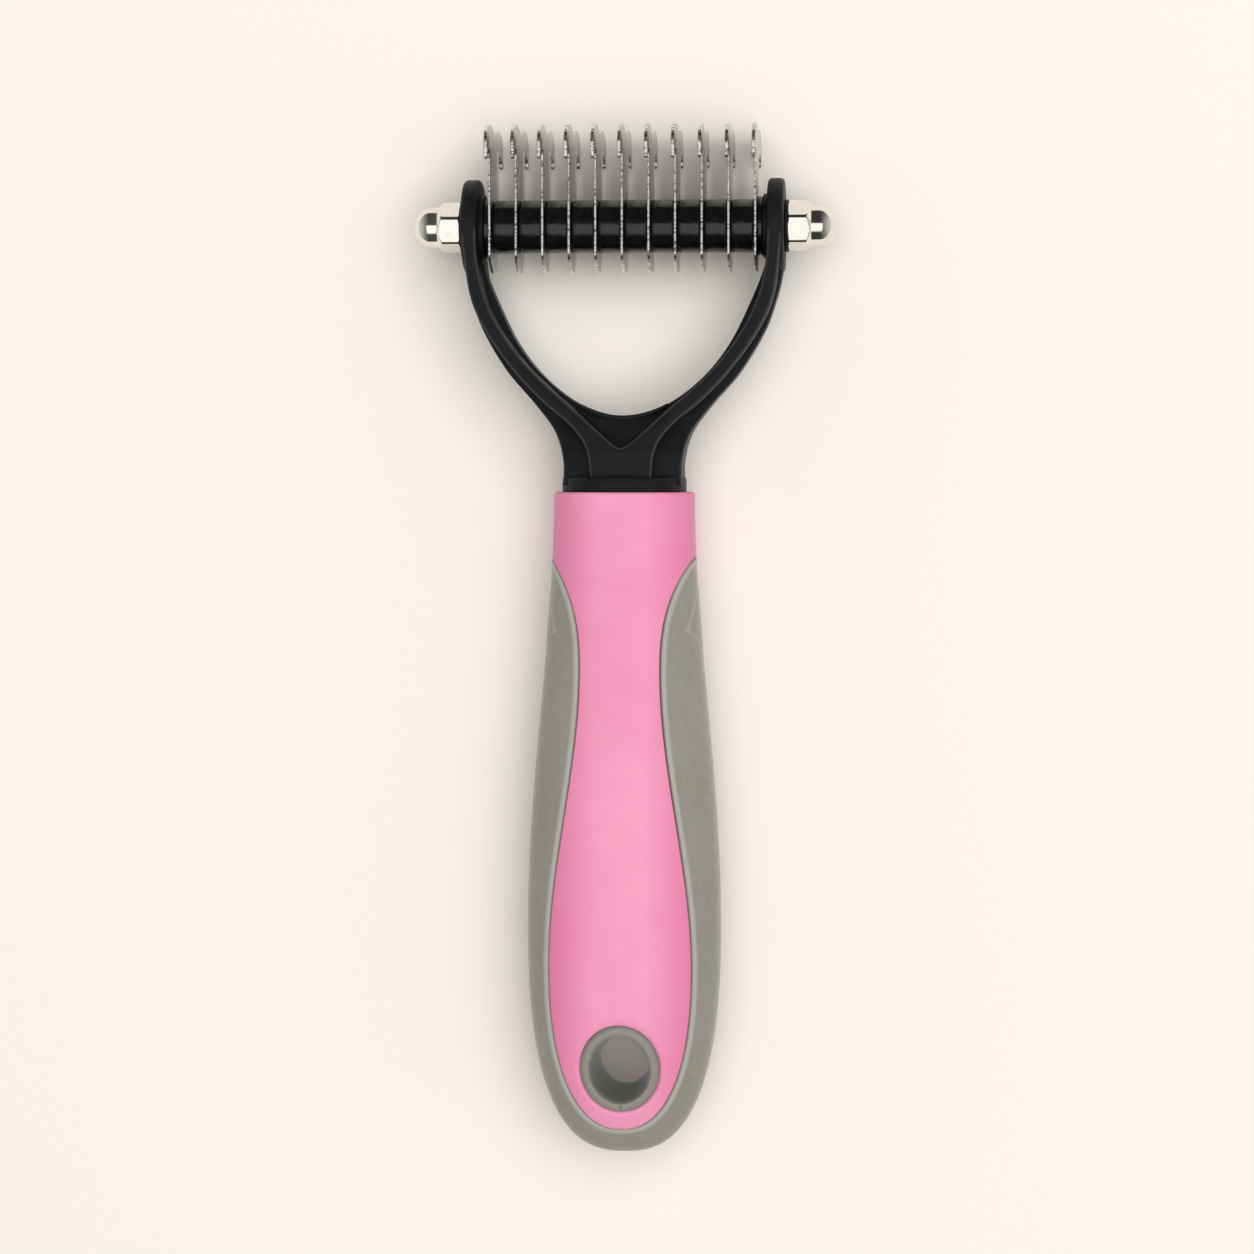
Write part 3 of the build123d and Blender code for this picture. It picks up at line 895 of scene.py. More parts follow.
    def build_core(self) -> bpy.types.Object:
        """Hard core: the sleeve at the rim and the bare panels on both faces."""
        split = self.first_split(-self.seam)
        sleeve = [split * i / 26 for i in range(26)]
        rest = [split + (self.panel_end - split) * (1 - math.cos(math.pi * i / 150)) / 2 for i in range(150)]
        edges = [0.0004, 0.0012, 0.0022, 0.0034, 0.0048]

        def span(t: float) -> tuple[float, float]:
            """Angles between which the bare panel lies."""
            a = self.split_angle(t, -self.seam)
            return math.pi - a, a

        stations = sorted(sleeve + edges + rest + [self.panel_end - 0.0012])
        bm = self.skin(64, stations, span)
        self.open_hole(bm)
        bmesh.ops.mirror(bm, geom=bm.verts[:] + bm.edges[:] + bm.faces[:], merge_dist=1e-3, axis="Z")
        bmesh.ops.remove_doubles(bm, verts=bm.verts, dist=2e-3)
        bmesh.ops.recalc_face_normals(bm, faces=bm.faces)
        bm.normal_update()
        self.ease_edges(bm, self.shell_wall, "shell_edge")
        bmesh.ops.translate(bm, verts=bm.verts, vec=(0, 0, self.sizes.mid_z))
        piece = finish_piece(bm, "core_shell", self.finishes.shell, "handle", 50)
        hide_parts("handle_core")
        return piece

    def sink_pads(self, bm: bmesh.types.BMesh) -> None:
        """Press a shallow leaf-shaped finger pad, with a fine crease round it, into the grip's side; the
        crease is also marked for a painted highlight.
        """
        mark = bm.verts.layers.float.new("pad_crease")
        for v in bm.verts:
            t = (self.sizes.rim_y - v.co.y) / self.length
            if not self.pad_top < t < self.pad_end:
                continue
            u = (t - self.pad_top) / (self.pad_end - self.pad_top)
            if u < self.pad_bow:
                share = math.sqrt(u / self.pad_bow)
            else:
                share = 1 - ((u - self.pad_bow) / (1 - self.pad_bow)) ** self.pad_taper
            inside = self.pad_half_height * share - abs(v.co.z)
            crease_and_highlight = math.exp(-((inside / self.crease_width) ** 2))
            # The crease's strength is kept as the attribute pad_crease, which the grip's finish uses for a
            # painted highlight.
            v[mark] = crease_and_highlight
            sunk = self.pad_sink * self.smoothstep(inside / self.pad_slope)
            v.co -= v.normal * (sunk + self.pad_crease * crease_and_highlight)

    def build_grip(self) -> bpy.types.Object:
        """Soft grip moulded round the sides and the butt."""
        split = self.first_split(self.seam)
        end = self.panel_end
        rows = [split + (end - split) * (1 - math.cos(math.pi * i / 190)) / 2 for i in range(190)]
        pad_step = (self.pad_end - self.pad_top) / self.pad_rows
        rows += [self.pad_top + pad_step * (i + self.pad_row_shift) for i in range(self.pad_rows)]
        rows.sort()
        rows += [end + (1 - end) * math.sin(math.pi / 2 * i / 26) for i in range(27)]

        def span(t: float) -> tuple[float, float]:
            """Angles between which the grip lies."""
            a = self.split_angle(t, self.seam) if t < end else math.pi / 2
            return a, -a

        bm = self.skin(76, rows, span)
        bmesh.ops.recalc_face_normals(bm, faces=bm.faces)
        bm.normal_update()
        self.sink_pads(bm)
        bmesh.ops.mirror(bm, geom=bm.verts[:] + bm.edges[:] + bm.faces[:], merge_dist=1e-3, axis="X")
        bmesh.ops.remove_doubles(bm, verts=bm.verts, dist=2e-3)
        bmesh.ops.recalc_face_normals(bm, faces=bm.faces)
        bm.normal_update()
        self.ease_edges(bm, self.grip_wall, "grip_lip", self.grip_lip)
        bmesh.ops.translate(bm, verts=bm.verts, vec=(0, 0, self.sizes.mid_z))
        piece = finish_piece(bm, "soft_grip", self.finishes.grip, "handle", 50)
        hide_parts("grip")
        return piece

    def build_liner(self) -> bpy.types.Object:
        """Soft liner of the hanging hole: a rolled ring on each face and a taper to the middle, its inner
        wall marked for painted shade.
        """
        mx, my = self.mouth
        sx, sy = self.hole_seat
        land = self.land_radius
        rings = [(land, land, 0.0, 0.0), (land, land, self.land_half, 0.0)]
        for s in (0.25, 0.5, 0.75):
            r = self.land_radius
            rings.append((r + (mx - r) * s, r + (my - r) * s, self.land_half * (1 - s), s))
        rolled = [(0.0, -0.55), (0.05, -0.3), (0.15, -0.1), (0.32, 0.0)]
        rolled += [(0.9, 0.0), (1.1, -0.08), (1.24, -0.26)]
        rings += [(mx + grow, my + grow, drop, 1.0) for grow, drop in rolled]
        rings += [(sx - 0.08, sy - 0.08, -0.6, 1.0), (sx - 0.08, sy - 0.08, -2.5, 1.0)]
        loop = rings + [(a, b, -c, -d) for a, b, c, d in reversed(rings)]

        def place(u: float, v: float) -> Vector:
            """Point of the surface at its two shares."""
            rx, ry, lift, hold = loop[round(v * (len(loop) - 1))]
            a = TURN * u
            x, y = rx * math.cos(a), self.sizes.hole_y + ry * math.sin(a)
            top = self.height_at(x, y)
            z = lift + hold * top if hold >= 0 else -(-lift - hold * top) + 0.0
            cut = max(0.0, 1 - abs(x) / 0.26) if y < self.sizes.hole_y and abs(hold) == 1.0 else 0.0
            return Vector((x, y, z - math.copysign(0.35 * cut, z)))

        bm = sheet(240, len(loop) - 1, place)
        bmesh.ops.remove_doubles(bm, verts=bm.verts, dist=1e-4)
        bmesh.ops.recalc_face_normals(bm, faces=bm.faces)
        # Painted shade mask: 1 deep inside the hole's wall, fading out towards its mouths.
        inner = bm.verts.layers.float.new("hole_wall_shade")
        for v in bm.verts:
            reach = math.hypot(v.co.x / mx, (v.co.y - self.sizes.hole_y) / my)
            depth = self.height_at(v.co.x, v.co.y) - abs(v.co.z) - self.hole_shade_start
            v[inner] = self.smoothstep(depth / self.hole_shade_fade) if reach < self.hole_shade_reach else 0.0
        bmesh.ops.translate(bm, verts=bm.verts, vec=(0, 0, self.sizes.mid_z))
        piece = finish_piece(bm, "hole_liner", self.finishes.grip, "handle", 60)
        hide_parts("hang_hole_liner")
        return piece

    def build(self) -> None:
        """Build the three pieces of the handle."""
        self.build_core()
        self.build_grip()
        self.build_liner()


# ---------------------------------------------------------------- fork
@dataclass
class Fork:
    """Black fork: rounded web, raised Y-shaped ribs, ears, window lip and collar."""

    sizes: RakeSizes
    finishes: FinishSet
    outside: tuple[tuple[float, float], ...] = (
        (27.1, -2.0),
        (26.8, -8.0),
        (25.7, -12.6),
        (23.8, -17.7),
        (19.7, -24.5),
        (14.8, -30.2),
        (11.5, -34.7),
        (10.1, -39.3),
        (10.05, -43.6),
    )
    window: tuple[tuple[float, float], ...] = (
        (24.3, -2.0),
        (24.0, -6.0),
        (21.5, -12.6),
        (17.6, -20.3),
        (12.6, -26.2),
        (6.5, -30.4),
        (0.0, -31.9),
    )
    rib_outside: tuple[tuple[float, float], ...] = (
        (27.0, -0.3),
        (26.5, -5.0),
        (25.4, -12.2),
        (23.0, -17.6),
        (18.6, -23.9),
        (13.7, -29.2),
        (8.6, -33.6),
        (5.9, -37.4),
        (5.0, -43.4),
    )
    rib_inside: tuple[tuple[float, float], ...] = (
        (24.4, -0.3),
        (24.3, -5.0),
        (23.1, -11.4),
        (20.7, -16.9),
        (16.7, -22.6),
        (12.1, -27.3),
        (7.6, -31.2),
        (3.9, -34.5),
        (1.5, -36.6),
        (0.7, -37.15),
    )
    crotch: tuple[float, float] = (0.0, -37.35)
    web_rounding: float = 2.0
    rib_rounding: float = 0.45
    ear_inner: float = 24.3
    ear_rounding: float = 0.7
    boss_radius: float = 5.4
    boss_length: float = 0.8
    bore: float = 2.6
    collar_half_width: float = 10.5
    collar_half_depth: float = 8.8
    collar_top: float = -42.1
    collar_foot: float = -46.0
    squareness: float = 2.5

    def window_line(self) -> list[Vector]:
        """Right half of the window's edge from the ear to the middle, level where it crosses the middle."""
        whole = list(self.window) + [(-x, y) for x, y in reversed(self.window[:-1])]
        return [p for p in smooth_line(whole, 7) if p.x > -1e-6]

    def outline(self, outer: Sequence[tuple[float, float]], into: Sequence[Vector]) -> list[Vector]:
        """Closed outline of a Y from its right-hand edges, mirrored to the left.

        Args:
            outer: Right outer edge from the ear down.
            into: Points of the right inner edge from the ear down to the middle.

        Returns:
            Corners in order round the Y.
        """
        right = list(reversed(into)) + smooth_line(outer, 7)
        left = [Vector((-p.x, p.y, 0)) for p in reversed(right)]
        loop = right + left
        kept = [p for i, p in enumerate(loop) if (p - loop[i - 1]).length > 1e-3]
        return kept

    def swell(self, bm: bmesh.types.BMesh, profile: Sequence[tuple[float, float]], drawn: float) -> None:
        """Scale a Y's depth along its height.

        Args:
            bm: Mesh drawn with an even half depth, height measured from the axle.
            profile: (height, half depth) from the foot up.
            drawn: The half depth it was drawn with.
        """
        heights = [y for y, _ in profile]
        depths = [d for _, d in profile]
        for v in bm.verts:
            v.co.z *= float(np.interp(v.co.y, heights, depths)) / drawn

    def place(self, bm: bmesh.types.BMesh) -> bmesh.types.BMesh:
        """Move a mesh drawn about the axle's middle into the frame."""
        bmesh.ops.translate(bm, verts=bm.verts, vec=(0, self.sizes.axle_y, self.sizes.mid_z))
        return bm

    def done(self, bm: bmesh.types.BMesh, name: str, sharp: float = 40.0) -> bpy.types.Object:
        """Dress one black piece and set it in place."""
        piece = finish_piece(self.place(bm), name, self.finishes.nylon, "handle", sharp)
        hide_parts("yoke")
        return piece

    def build_web(self) -> bpy.types.Object:
        """Rounded web of both arms and the neck."""
        drawn = 2.5
        bm = plate(self.outline(self.outside, self.window_line()), drawn * 2)
        round_flat_rims(bm, self.web_rounding, 8)
        slice_along(bm, 1, -43.0, -3.0, 1.0)
        self.swell(bm, ((-44.0, 5.4), (-38.0, 4.6), (-33.0, 3.2), (-28.0, 2.5), (0.0, 2.5)), drawn)
        bmesh.ops.recalc_face_normals(bm, faces=bm.faces)
        return self.done(bm, "fork_web")

    def build_ribs(self) -> bpy.types.Object:
        """Raised Y of ribs on both faces, merging into the plateau on the neck."""
        drawn = 8.0
        inside = smooth_line(self.rib_inside, 7) + [Vector((*self.crotch, 0))]
        bm = plate(self.outline(self.rib_outside, inside), drawn * 2)
        # The middle of the ribs' rounding is marked for the painted highlight of the black finish.
        round_flat_rims(bm, self.rib_rounding, 3, "rib_edge_highlight")
        slice_along(bm, 1, -43.2, -1.0, 0.8)
        profile = ((-43.4, 7.6), (-42.4, 7.8), (-41.0, 8.15), (-38.0, 8.1), (-32.0, 7.6), (-24.0, 7.0))
        profile += ((-10.0, 7.3), (-0.3, 7.95))
        self.swell(bm, profile, drawn)
        bmesh.ops.recalc_face_normals(bm, faces=bm.faces)
        return self.done(bm, "fork_ribs", 30)

    def build_lip(self) -> bpy.types.Object:
        """Thin curved lip that closes the sunk triangle along the window."""
        inner = [p for p in self.window_line() if p.x < 8.2]
        line = [Vector((-p.x, p.y, 0)) for p in inner][:-1] + list(reversed(inner))
        width = 0.55
        lower = [p + Vector((0, -width - 0.25 * (1 - abs(p.x) / 8.2), 0)) for p in line]
        bm = plate(line + list(reversed(lower)), 8.4)
        round_flat_rims(bm, 0.18, 3)
        return self.done(bm, "fork_lip")

    def build_ear(self, side: Side) -> bpy.types.Object:
        """Round ear with its boss, bored for the axle."""
        inner, outer, r = self.ear_inner, self.sizes.ear_outer, self.sizes.ear_radius
        corners = [
            (inner - self.boss_length, self.bore, 0.0),
            (inner - self.boss_length, self.boss_radius, 0.25),
            (inner, self.boss_radius, 0.0),
            (inner, r, self.ear_rounding),
            (outer, r, self.ear_rounding),
            (outer, self.bore, 0.0),
        ]
        bm = lathe(rounded_profile(corners), 128)
        if side is Side.LEFT:
            bmesh.ops.scale(bm, vec=(-1, 1, 1), verts=bm.verts)
            bmesh.ops.recalc_face_normals(bm, faces=bm.faces)
        return self.done(bm, f"{side.name.lower()}_ear")

    def build_collar(self) -> bpy.types.Object:
        """Oval collar between the neck and the handle's rim."""
        top, foot = self.collar_top, self.collar_foot
        rows = [(0.0, top), (0.5, top), (0.9, top - 0.02), (0.955, top - 0.08)]
        rows += [(0.985, top - 0.25), (1.0, top - 0.55)]
        rows += [(1.0, foot + 0.9), (0.995, foot + 0.5), (0.985, foot), (0.5, foot), (0.0, foot)]

        def place(u: float, v: float) -> Vector:
            """Point of the surface at its two shares."""
            size, y = rows[round(v * (len(rows) - 1))]
            a = TURN * u
            c, s = math.cos(a), math.sin(a)
            x = self.collar_half_width * size * math.copysign(abs(c) ** (2 / self.squareness), c)
            z = self.collar_half_depth * size * math.copysign(abs(s) ** (2 / self.squareness), s)
            return Vector((x, y, z))

        bm = sheet(160, len(rows) - 1, place)
        bmesh.ops.remove_doubles(bm, verts=bm.verts, dist=1e-4)
        bmesh.ops.recalc_face_normals(bm, faces=bm.faces)
        return self.done(bm, "fork_collar")

    def build(self) -> None:
        """Build every piece of the fork."""
        self.build_web()
        self.build_ribs()
        self.build_lip()
        for side in Side:
            self.build_ear(side)
        self.build_collar()


# ---------------------------------------------------------------- blade set
@dataclass
class BladeSet:
    """Blades, spacers and end collars on the axle."""

    sizes: RakeSizes
    finishes: FinishSet
    blade_count: int = 11
    thickness: float = 0.6
    stem: float = 6.8
    stem_drop: float = 4.8
    blade_drop: float = 7.8
    hook_top: float = 16.7
    hook_spread: float = 11.1
    hook_tip: float = 10.6
    rim_easing: float = 0.09
    grind_start: float = 2.2
    grind_depth: float = 0.2
    spacer_easing: float = 0.35
    bore: float = 2.55

    def half_outline(self) -> list[Vector]:
        """Right half of the anchor shape, from the valley round the hook to the foot."""
        spread, tip, top, half = self.hook_spread, self.hook_tip, self.hook_top, self.stem

        def curve(*points: tuple[float, float], steps: int = 10) -> list[Vector]:
            """Bezier curve through its end points."""
            return interpolate_bezier(*[Vector((x, y, 0)) for x, y in points], steps)

        crest = (spread * 0.52, top)
        shoulder = (spread, top - 3.4)
        tip_out, tip_in = (spread - 0.15, tip + 0.5), (spread - 1.15, tip + 0.5)
        notch = ((spread + half) / 2 - 0.45, top - 4.2)
        stem_top = (half, tip + 0.3)
        corner = (half - 1.7, -self.stem_drop - 1.5)
        line = curve((0, top - 1.1), (1.9, top - 1.1), (3.0, top), crest)
        line += curve(crest, (spread * 0.82, top), (spread, top - 1.4), shoulder, steps=14)[1:]
        line += curve(tip_out, (spread - 0.2, tip - 0.12), (spread - 1.1, tip - 0.12), tip_in, steps=8)
        line += curve(tip_in, (tip_in[0], tip + 1.3), (notch[0] + 0.9, notch[1]), notch, steps=8)[1:]
        line += curve(notch, (notch[0] - 0.9, notch[1]), (half, tip + 1.5), stem_top, steps=8)[1:]
        stem_end, foot = (half, -self.stem_drop), (0, -self.blade_drop)
        into_corner, out_of_corner = (corner[0] + 0.9, corner[1] + 0.4), (corner[0] - 1.7, corner[1] - 0.7)
        line += curve(stem_end, (half, -self.stem_drop - 0.8), into_corner, corner)
        line += curve(corner, out_of_corner, (1.6, -self.blade_drop), foot)[1:]
        return line

    def build_blade(self, index: int) -> bpy.types.Object:
        """One polished blade with its punched rim and the two ground flats beside the hooks."""
        half = self.half_outline()
        outline = half + [Vector((-p.x, p.y, 0)) for p in reversed(half[1:-1])]
        bm = plate(list(reversed(outline)), self.thickness)
        round_flat_rims(bm, self.rim_easing, 2)
        bm.normal_update()
        rim = bm.faces.layers.float.new("punched_rim")
        for f in bm.faces:
            f[rim] = 1.0 if abs(f.normal.z) < 0.75 else 0.0
        for side in (1, -1):
            slice_along(bm, 0, side * self.grind_start, side * (self.stem - 0.3), 0.75)
        slice_along(bm, 1, -6.5, 14.5, 1.5)
        for v in bm.verts:
            facing = 1 if v.co.z > 0 else -1
            out = v.co.x * facing
            in_rim = abs(v.co.z) < self.thickness / 2 - self.rim_easing * 1.5
            if in_rim or not self.grind_start < out < self.stem + 0.2:
                continue
            fade = min(1.0, max(0.0, (14.0 - v.co.y) / 2.0))
            share = (out - self.grind_start) / (self.stem - self.grind_start)
            v.co.z -= facing * self.grind_depth * share * fade
        # Faces of the ground flats are marked for the painted reflection of the steel finish.
        ground = bm.faces.layers.float.new("ground_flat_reflection")
        for f in bm.faces:
            middle = f.calc_center_median()
            out = middle.x * (1 if middle.z > 0 else -1)
            on_flat = abs(f.normal.z) > 0.75 and self.grind_start < out < self.stem + 0.2 and middle.y < 13.0
            f[ground] = 1.0 if on_flat else 0.0
        turn = Matrix(((0, 0, 1, 0), (0, 1, 0, 0), (-1, 0, 0, 0), (0, 0, 0, 1)))
        bmesh.ops.transform(bm, matrix=turn, verts=bm.verts)
        node = f"blade_{index:02d}"
        at = (centre_of(node).x, self.sizes.axle_y, self.sizes.mid_z)
        bmesh.ops.translate(bm, verts=bm.verts, vec=at)
        piece = finish_piece(bm, f"polished_{node}", self.finishes.blade, "blade_set", 25)
        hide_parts(node)
        return piece

    def build_sleeve(self, node: str, easing: float, name: str) -> bpy.types.Object:
        """Turned sleeve in the place of a CAD sleeve."""
        low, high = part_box(node)
        half = (high.x - low.x) / (2 * MM)
        r = (high.y - low.y) / (2 * MM)
        corners = [(-half, self.bore, 0.0), (-half, r, easing), (half, r, easing), (half, self.bore, 0.0)]
        bm = lathe(rounded_profile(corners), 112)
        bmesh.ops.translate(bm, verts=bm.verts, vec=centre_of(node))
        piece = finish_piece(bm, name, self.finishes.sleeve, "blade_set", 40)
        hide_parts(node)
        return piece

    def build_axle(self) -> bpy.types.Object:
        """Threaded rod: a coarse helical ridge over its whole length."""
        low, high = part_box("axle")
        half = (high.x - low.x) / (2 * MM)
        radius, pitch, depth = (high.y - low.y) / (2 * MM), 0.8, 0.4
        along, around = 560, 40

        def place(u: float, v: float) -> Vector:
            """Point of the surface at its two shares."""
            x = -half + 2 * half * v
            phase = (x / pitch - u) % 1.0
            ridge = abs(2 * phase - 1)
            end = min(1.0, (half - abs(x)) / 0.5)
            r = (radius - depth * ridge) * (0.86 + 0.14 * end)
            return Vector((x, r * math.cos(TURN * u), r * math.sin(TURN * u)))

        bm = sheet(around, along, place)
        bmesh.ops.remove_doubles(bm, verts=bm.verts, dist=1e-4)
        ends = [e for e in bm.edges if e.is_boundary]
        bmesh.ops.holes_fill(bm, edges=ends, sides=0)
        bmesh.ops.recalc_face_normals(bm, faces=bm.faces)
        bmesh.ops.translate(bm, verts=bm.verts, vec=centre_of("axle"))
        piece = finish_piece(bm, "threaded_axle", self.finishes.axle, "blade_set", 30)
        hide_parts("axle")
        return piece

    def build(self) -> None:
        """Build the row."""
        for index in range(1, self.blade_count + 1):
            self.build_blade(index)
        for index in range(1, self.blade_count):
            self.build_sleeve(f"spacer_{index:02d}", self.spacer_easing, f"gloss_spacer_{index:02d}")
        for side in Side:
            node = f"{side.name.lower()}_end_collar"
            self.build_sleeve(node, 0.15, f"gloss_{node}")
        self.build_axle()


# ---------------------------------------------------------------- nuts and washers
@dataclass
class CapNut:
    """Acorn nut and the washer under it, on one side of the rake."""

    sizes: RakeSizes
    finishes: FinishSet
    side: Side
    flats: float = 7.6
    hex_length: float = 2.9
    shoulder: float = 0.9
    dome_radius: float = 3.45
    dome_squash: float = 0.85
    length: float = 8.1
    bore: float = 2.55
    bore_depth: float = 5.7
    corner_easing: float = 0.12
    turned_deg: float = 13.0

    def hex_radius(self, angle: float) -> float:
        """Distance from the axis to the hexagon at an angle, its corners eased."""
        sector = ((angle - math.radians(self.turned_deg)) % (TURN / 6)) - TURN / 12
        plain = self.flats / 2 / math.cos(sector)
        corner = self.flats / 2 / math.cos(TURN / 12)
        return min(plain, corner - self.corner_easing)

    def outer_radius(self, x: float, angle: float) -> float:
        """Outer radius of the nut at a distance x from its seat."""
        top = self.hex_length + self.shoulder
        corner = self.flats / 2 / math.cos(TURN / 12)
        slope = (corner + 1.4 - self.dome_radius - 0.1) / 2.2
        cone = self.dome_radius + 0.1 + (top - x) * slope
        seat = corner - 0.32 + x * 1.1
        return max(self.dome_radius, min(self.hex_radius(angle), cone, seat))

    def build_nut(self) -> bpy.types.Object:
        """Hexagon with a turned shoulder, a dome and a blind threaded bore."""
        side = self.side.name.lower()
        top = self.hex_length + self.shoulder
        straight = self.length - self.dome_radius * self.dome_squash
        rows: list[tuple[float, float | None]] = [(self.bore_depth, 0.0), (self.bore_depth, self.bore)]
        rows += [(0.3, self.bore), (0.0, self.bore + 0.35)]
        rows += [(x, None) for x in (0.0, 0.08, 0.18, 0.3, 0.5)]
        rows += [(0.5 + (top - 0.5) * i / 22, None) for i in range(1, 22)]
        rows += [(top - 0.02, None), (top + 0.05, self.dome_radius + 0.02), (top + 0.18, self.dome_radius)]
        rows += [(straight, self.dome_radius)]
        for i in range(1, 15):
            a = math.pi / 2 * i / 14
            rise = self.dome_radius * self.dome_squash * math.sin(a)
            rows.append((straight + rise, self.dome_radius * math.cos(a)))
        per_side = (0.0, 0.012, 0.035, 0.09, 0.2, 0.35, 0.5, 0.65, 0.8, 0.91, 0.965, 0.988)
        turned = math.radians(self.turned_deg)
        angles = [turned + TURN / 6 * (k + s) for k in range(6) for s in per_side] + [turned + TURN]

        def place(u: float, v: float) -> Vector:
            """Point of the surface at its two shares."""
            x, r = rows[round(v * (len(rows) - 1))]
            a = angles[round(u * (len(angles) - 1))]
            r = self.outer_radius(x, a) if r is None else r
            return Vector((x, r * math.cos(a), r * math.sin(a)))

        bm = sheet(len(angles) - 1, len(rows) - 1, place)
        bmesh.ops.remove_doubles(bm, verts=bm.verts, dist=1e-4)
        if self.side is Side.LEFT:
            bmesh.ops.scale(bm, vec=(-1, 1, 1), verts=bm.verts)
        bmesh.ops.recalc_face_normals(bm, faces=bm.faces)
        node = f"{side}_cap_nut"
        low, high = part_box(node)
        seat = (low.x if self.side is Side.RIGHT else high.x) / MM
        bmesh.ops.translate(bm, verts=bm.verts, vec=(seat, self.sizes.axle_y, self.sizes.mid_z))
        piece = finish_piece(bm, f"bright_{node}", self.finishes.nut, f"{side}_nut", 24)
        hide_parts(node)
        return piece

    def build_washer(self) -> bpy.types.Object:
        """Thin black washer under the nut."""
        side = self.side.name.lower()
        node = f"{side}_washer"
        low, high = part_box(node)
        half, r = (high.x - low.x) / (2 * MM), (high.y - low.y) / (2 * MM)
        corners = [(-half, self.bore, 0.0), (-half, r, 0.12), (half, r, 0.12), (half, self.bore, 0.0)]
        bm = lathe(rounded_profile(corners, 3), 96)
        bmesh.ops.translate(bm, verts=bm.verts, vec=centre_of(node))
        piece = finish_piece(bm, f"thin_{node}", self.finishes.nylon, f"{side}_washer", 40)
        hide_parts(node)
        return piece

    def build(self) -> None:
        """Build the nut and its washer."""
        self.build_nut()
        self.build_washer()


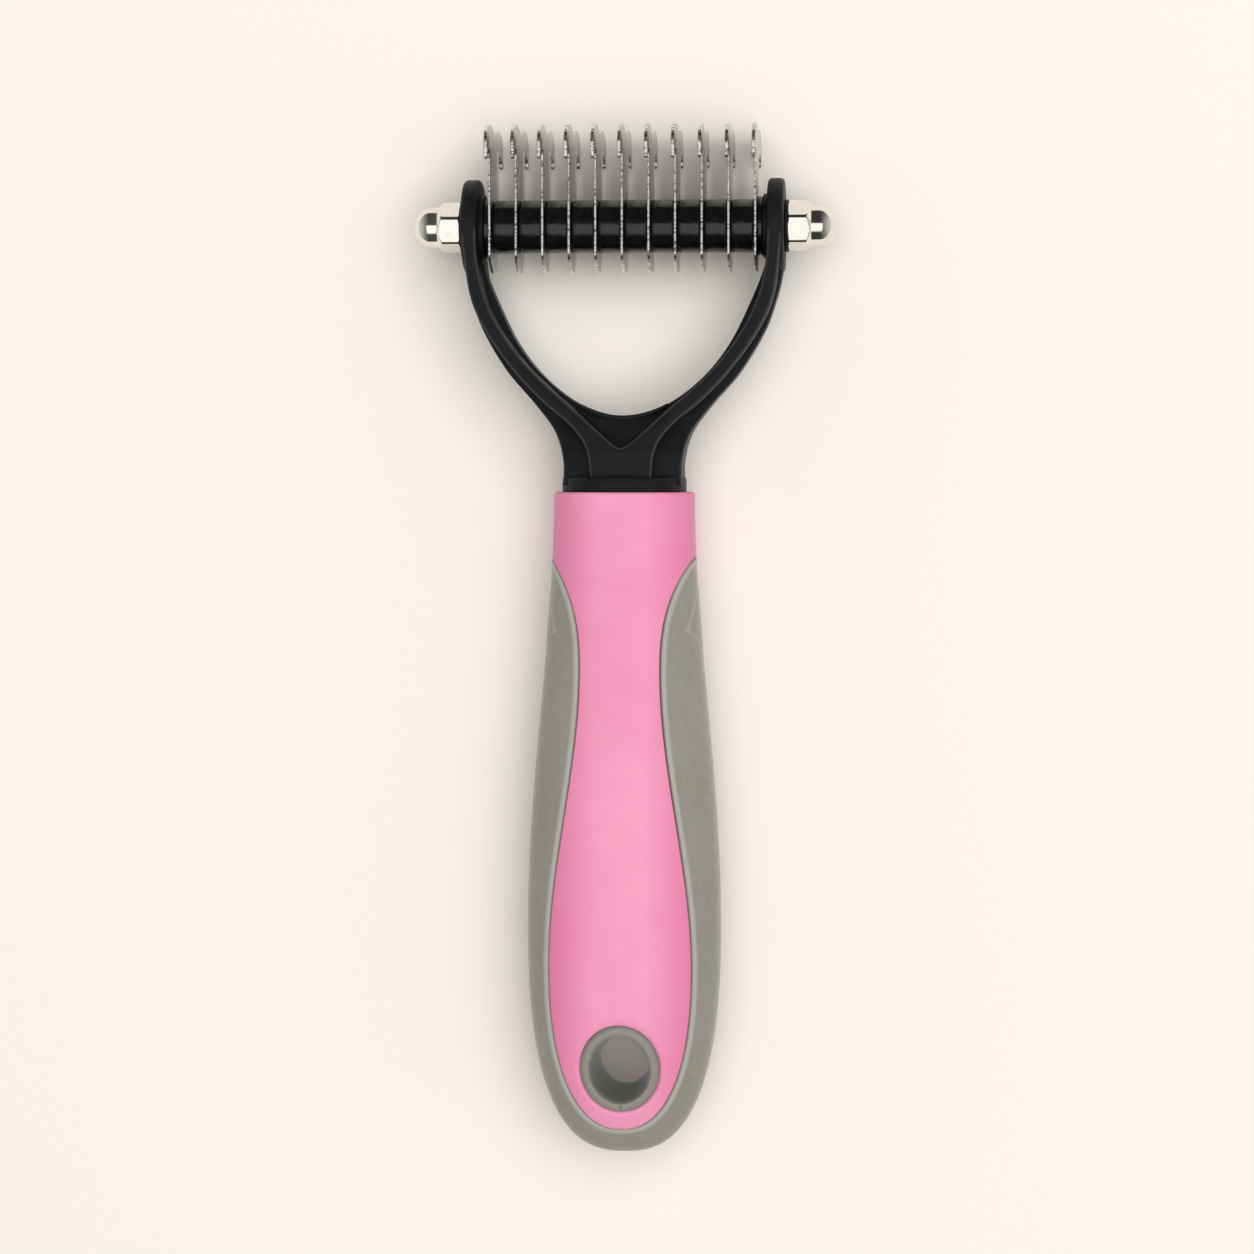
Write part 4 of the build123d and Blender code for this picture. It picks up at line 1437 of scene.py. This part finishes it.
# ---------------------------------------------------------------- studio
@dataclass
class Studio:
    """Plain pale floor, soft overhead light and the camera."""

    sizes: RakeSizes
    distance: float = 573.0
    frame_width: float = 213.2
    look_at: tuple[float, float] = (0.4, 2.55)
    nadir: tuple[float, float] = (50.0, 30.0)
    floor_half: float = 4000.0
    sensor: float = 36.0
    wall_strength: float = 0.6
    ceiling_strength: float = 1.15
    dark_strength: float = 0.04

    def build_floor(self) -> None:
        """Table top under the rake."""
        bm = bmesh.new()
        bmesh.ops.create_grid(bm, x_segments=2, y_segments=2, size=self.floor_half * MM)
        mesh = bpy.data.meshes.new("table_top")
        bm.to_mesh(mesh)
        bm.free()
        mesh.materials.append(TableFinish().material())
        top = bpy.data.objects.new("table_top", mesh)
        bpy.context.scene.collection.objects.link(top)

    def add_light(
        self, name: str, place: tuple[float, float, float], size: tuple[float, float], power: float
    ) -> bpy.types.Object:
        """Add one rectangular soft light aimed at the rake.

        Args:
            name: Name of the light.
            place: Its place in millimetres.
            size: Its sides in millimetres.
            power: Its power in watts.

        Returns:
            The light's object.
        """
        data = bpy.data.lights.new(name, "AREA")
        data.shape = "RECTANGLE"
        data.size, data.size_y = size[0] * MM, size[1] * MM
        data.energy = power
        data.color = (1.0, 0.985, 0.96)
        lamp = bpy.data.objects.new(name, data)
        lamp.location = Vector(place) * MM
        aim = Vector((0, 0, self.sizes.mid_z)) * MM - lamp.location
        lamp.rotation_euler = aim.to_track_quat("-Z", "Y").to_euler()
        bpy.context.scene.collection.objects.link(lamp)
        return lamp

    def build_lights(self) -> None:
        """One broad soft light overhead, a little to the upper right, which mirrors don't see."""
        lamp = self.add_light("overhead_light", (440, 300, 2000), (2400, 2200), 46.0)
        lamp.visible_glossy = False

    def build_room(self) -> None:
        """Room that shows in mirrors: pale side walls, a pale strip of ceiling, and dark elsewhere."""
        world = bpy.data.worlds.new("studio_room")
        world.use_nodes = True
        tree = world.node_tree

        def step(operation: str, *values: object) -> bpy.types.NodeSocket:
            """One step of arithmetic on directions."""
            node = tree.nodes.new("ShaderNodeMath")
            node.operation = operation
            for socket, value in zip(node.inputs, values):
                if isinstance(value, float):
                    socket.default_value = value
                else:
                    tree.links.new(value, socket)
            return node.outputs[0]

        def until(value: object, start: float, end: float) -> bpy.types.NodeSocket:
            """1 below start and 0 above end."""
            node = tree.nodes.new("ShaderNodeMapRange")
            node.interpolation_type = "SMOOTHSTEP"
            tree.links.new(value, node.inputs["Value"])
            for key, number in (("From Min", start), ("From Max", end), ("To Min", 1.0), ("To Max", 0.0)):
                node.inputs[key].default_value = number
            return node.outputs["Result"]

        coords = tree.nodes.new("ShaderNodeTexCoord")
        parts = tree.nodes.new("ShaderNodeSeparateXYZ")
        tree.links.new(coords.outputs["Generated"], parts.inputs[0])
        x, y, z = parts.outputs
        height = step("MAXIMUM", z, 0.05)
        along = step("DIVIDE", y, height)
        across = step("ABSOLUTE", step("DIVIDE", x, height))
        ceiling = step("MULTIPLY", until(along, 0.1, 0.2), until(step("MULTIPLY", along, -1.0), 0.6, 0.9))
        ceiling = step("MULTIPLY", ceiling, until(across, 0.4, 0.6))
        walls = step("MULTIPLY", step("MULTIPLY", x, x), self.wall_strength)
        light = step("ADD", walls, step("MULTIPLY", ceiling, self.ceiling_strength))
        background = tree.nodes["Background"]
        background.inputs["Color"].default_value = (1.0, 0.985, 0.96, 1.0)
        tree.links.new(step("ADD", light, self.dark_strength), background.inputs["Strength"])
        bpy.context.scene.world = world

    def build_camera(self) -> None:
        """Camera over the rake, looking almost straight down."""
        data = bpy.data.cameras.new("camera")
        data.sensor_width = self.sensor
        data.lens = self.sensor * self.distance / self.frame_width
        data.clip_start, data.clip_end = 0.01, 20.0
        target = Vector((*self.look_at, self.sizes.mid_z))
        lean = Vector((self.nadir[0] - self.look_at[0], self.nadir[1] - self.look_at[1], 0))
        height = math.sqrt(self.distance**2 - lean.length_squared)
        eye = target + lean + Vector((0, 0, height))
        back = (eye - target).normalized()
        right = Vector((0, 1, 0)).cross(back).normalized()
        up = back.cross(right)
        turn = Matrix((right, up, back)).transposed()
        camera = bpy.data.objects.new("camera", data)
        camera.matrix_world = Matrix.Translation(eye * MM) @ turn.to_4x4()
        bpy.context.scene.collection.objects.link(camera)
        bpy.context.scene.camera = camera

    def build(self) -> None:
        """Build the whole studio."""
        self.build_floor()
        self.build_lights()
        self.build_room()
        self.build_camera()
        bpy.context.scene.view_settings.view_transform = "Standard"


def main() -> None:
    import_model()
    sizes = RakeSizes.from_frame()
    finishes = FinishSet()
    Handle(sizes, finishes).build()
    Fork(sizes, finishes).build()
    BladeSet(sizes, finishes).build()
    for side in Side:
        CapNut(sizes, finishes, side).build()
    Studio(sizes).build()


if __name__ == "__main__":
    main()
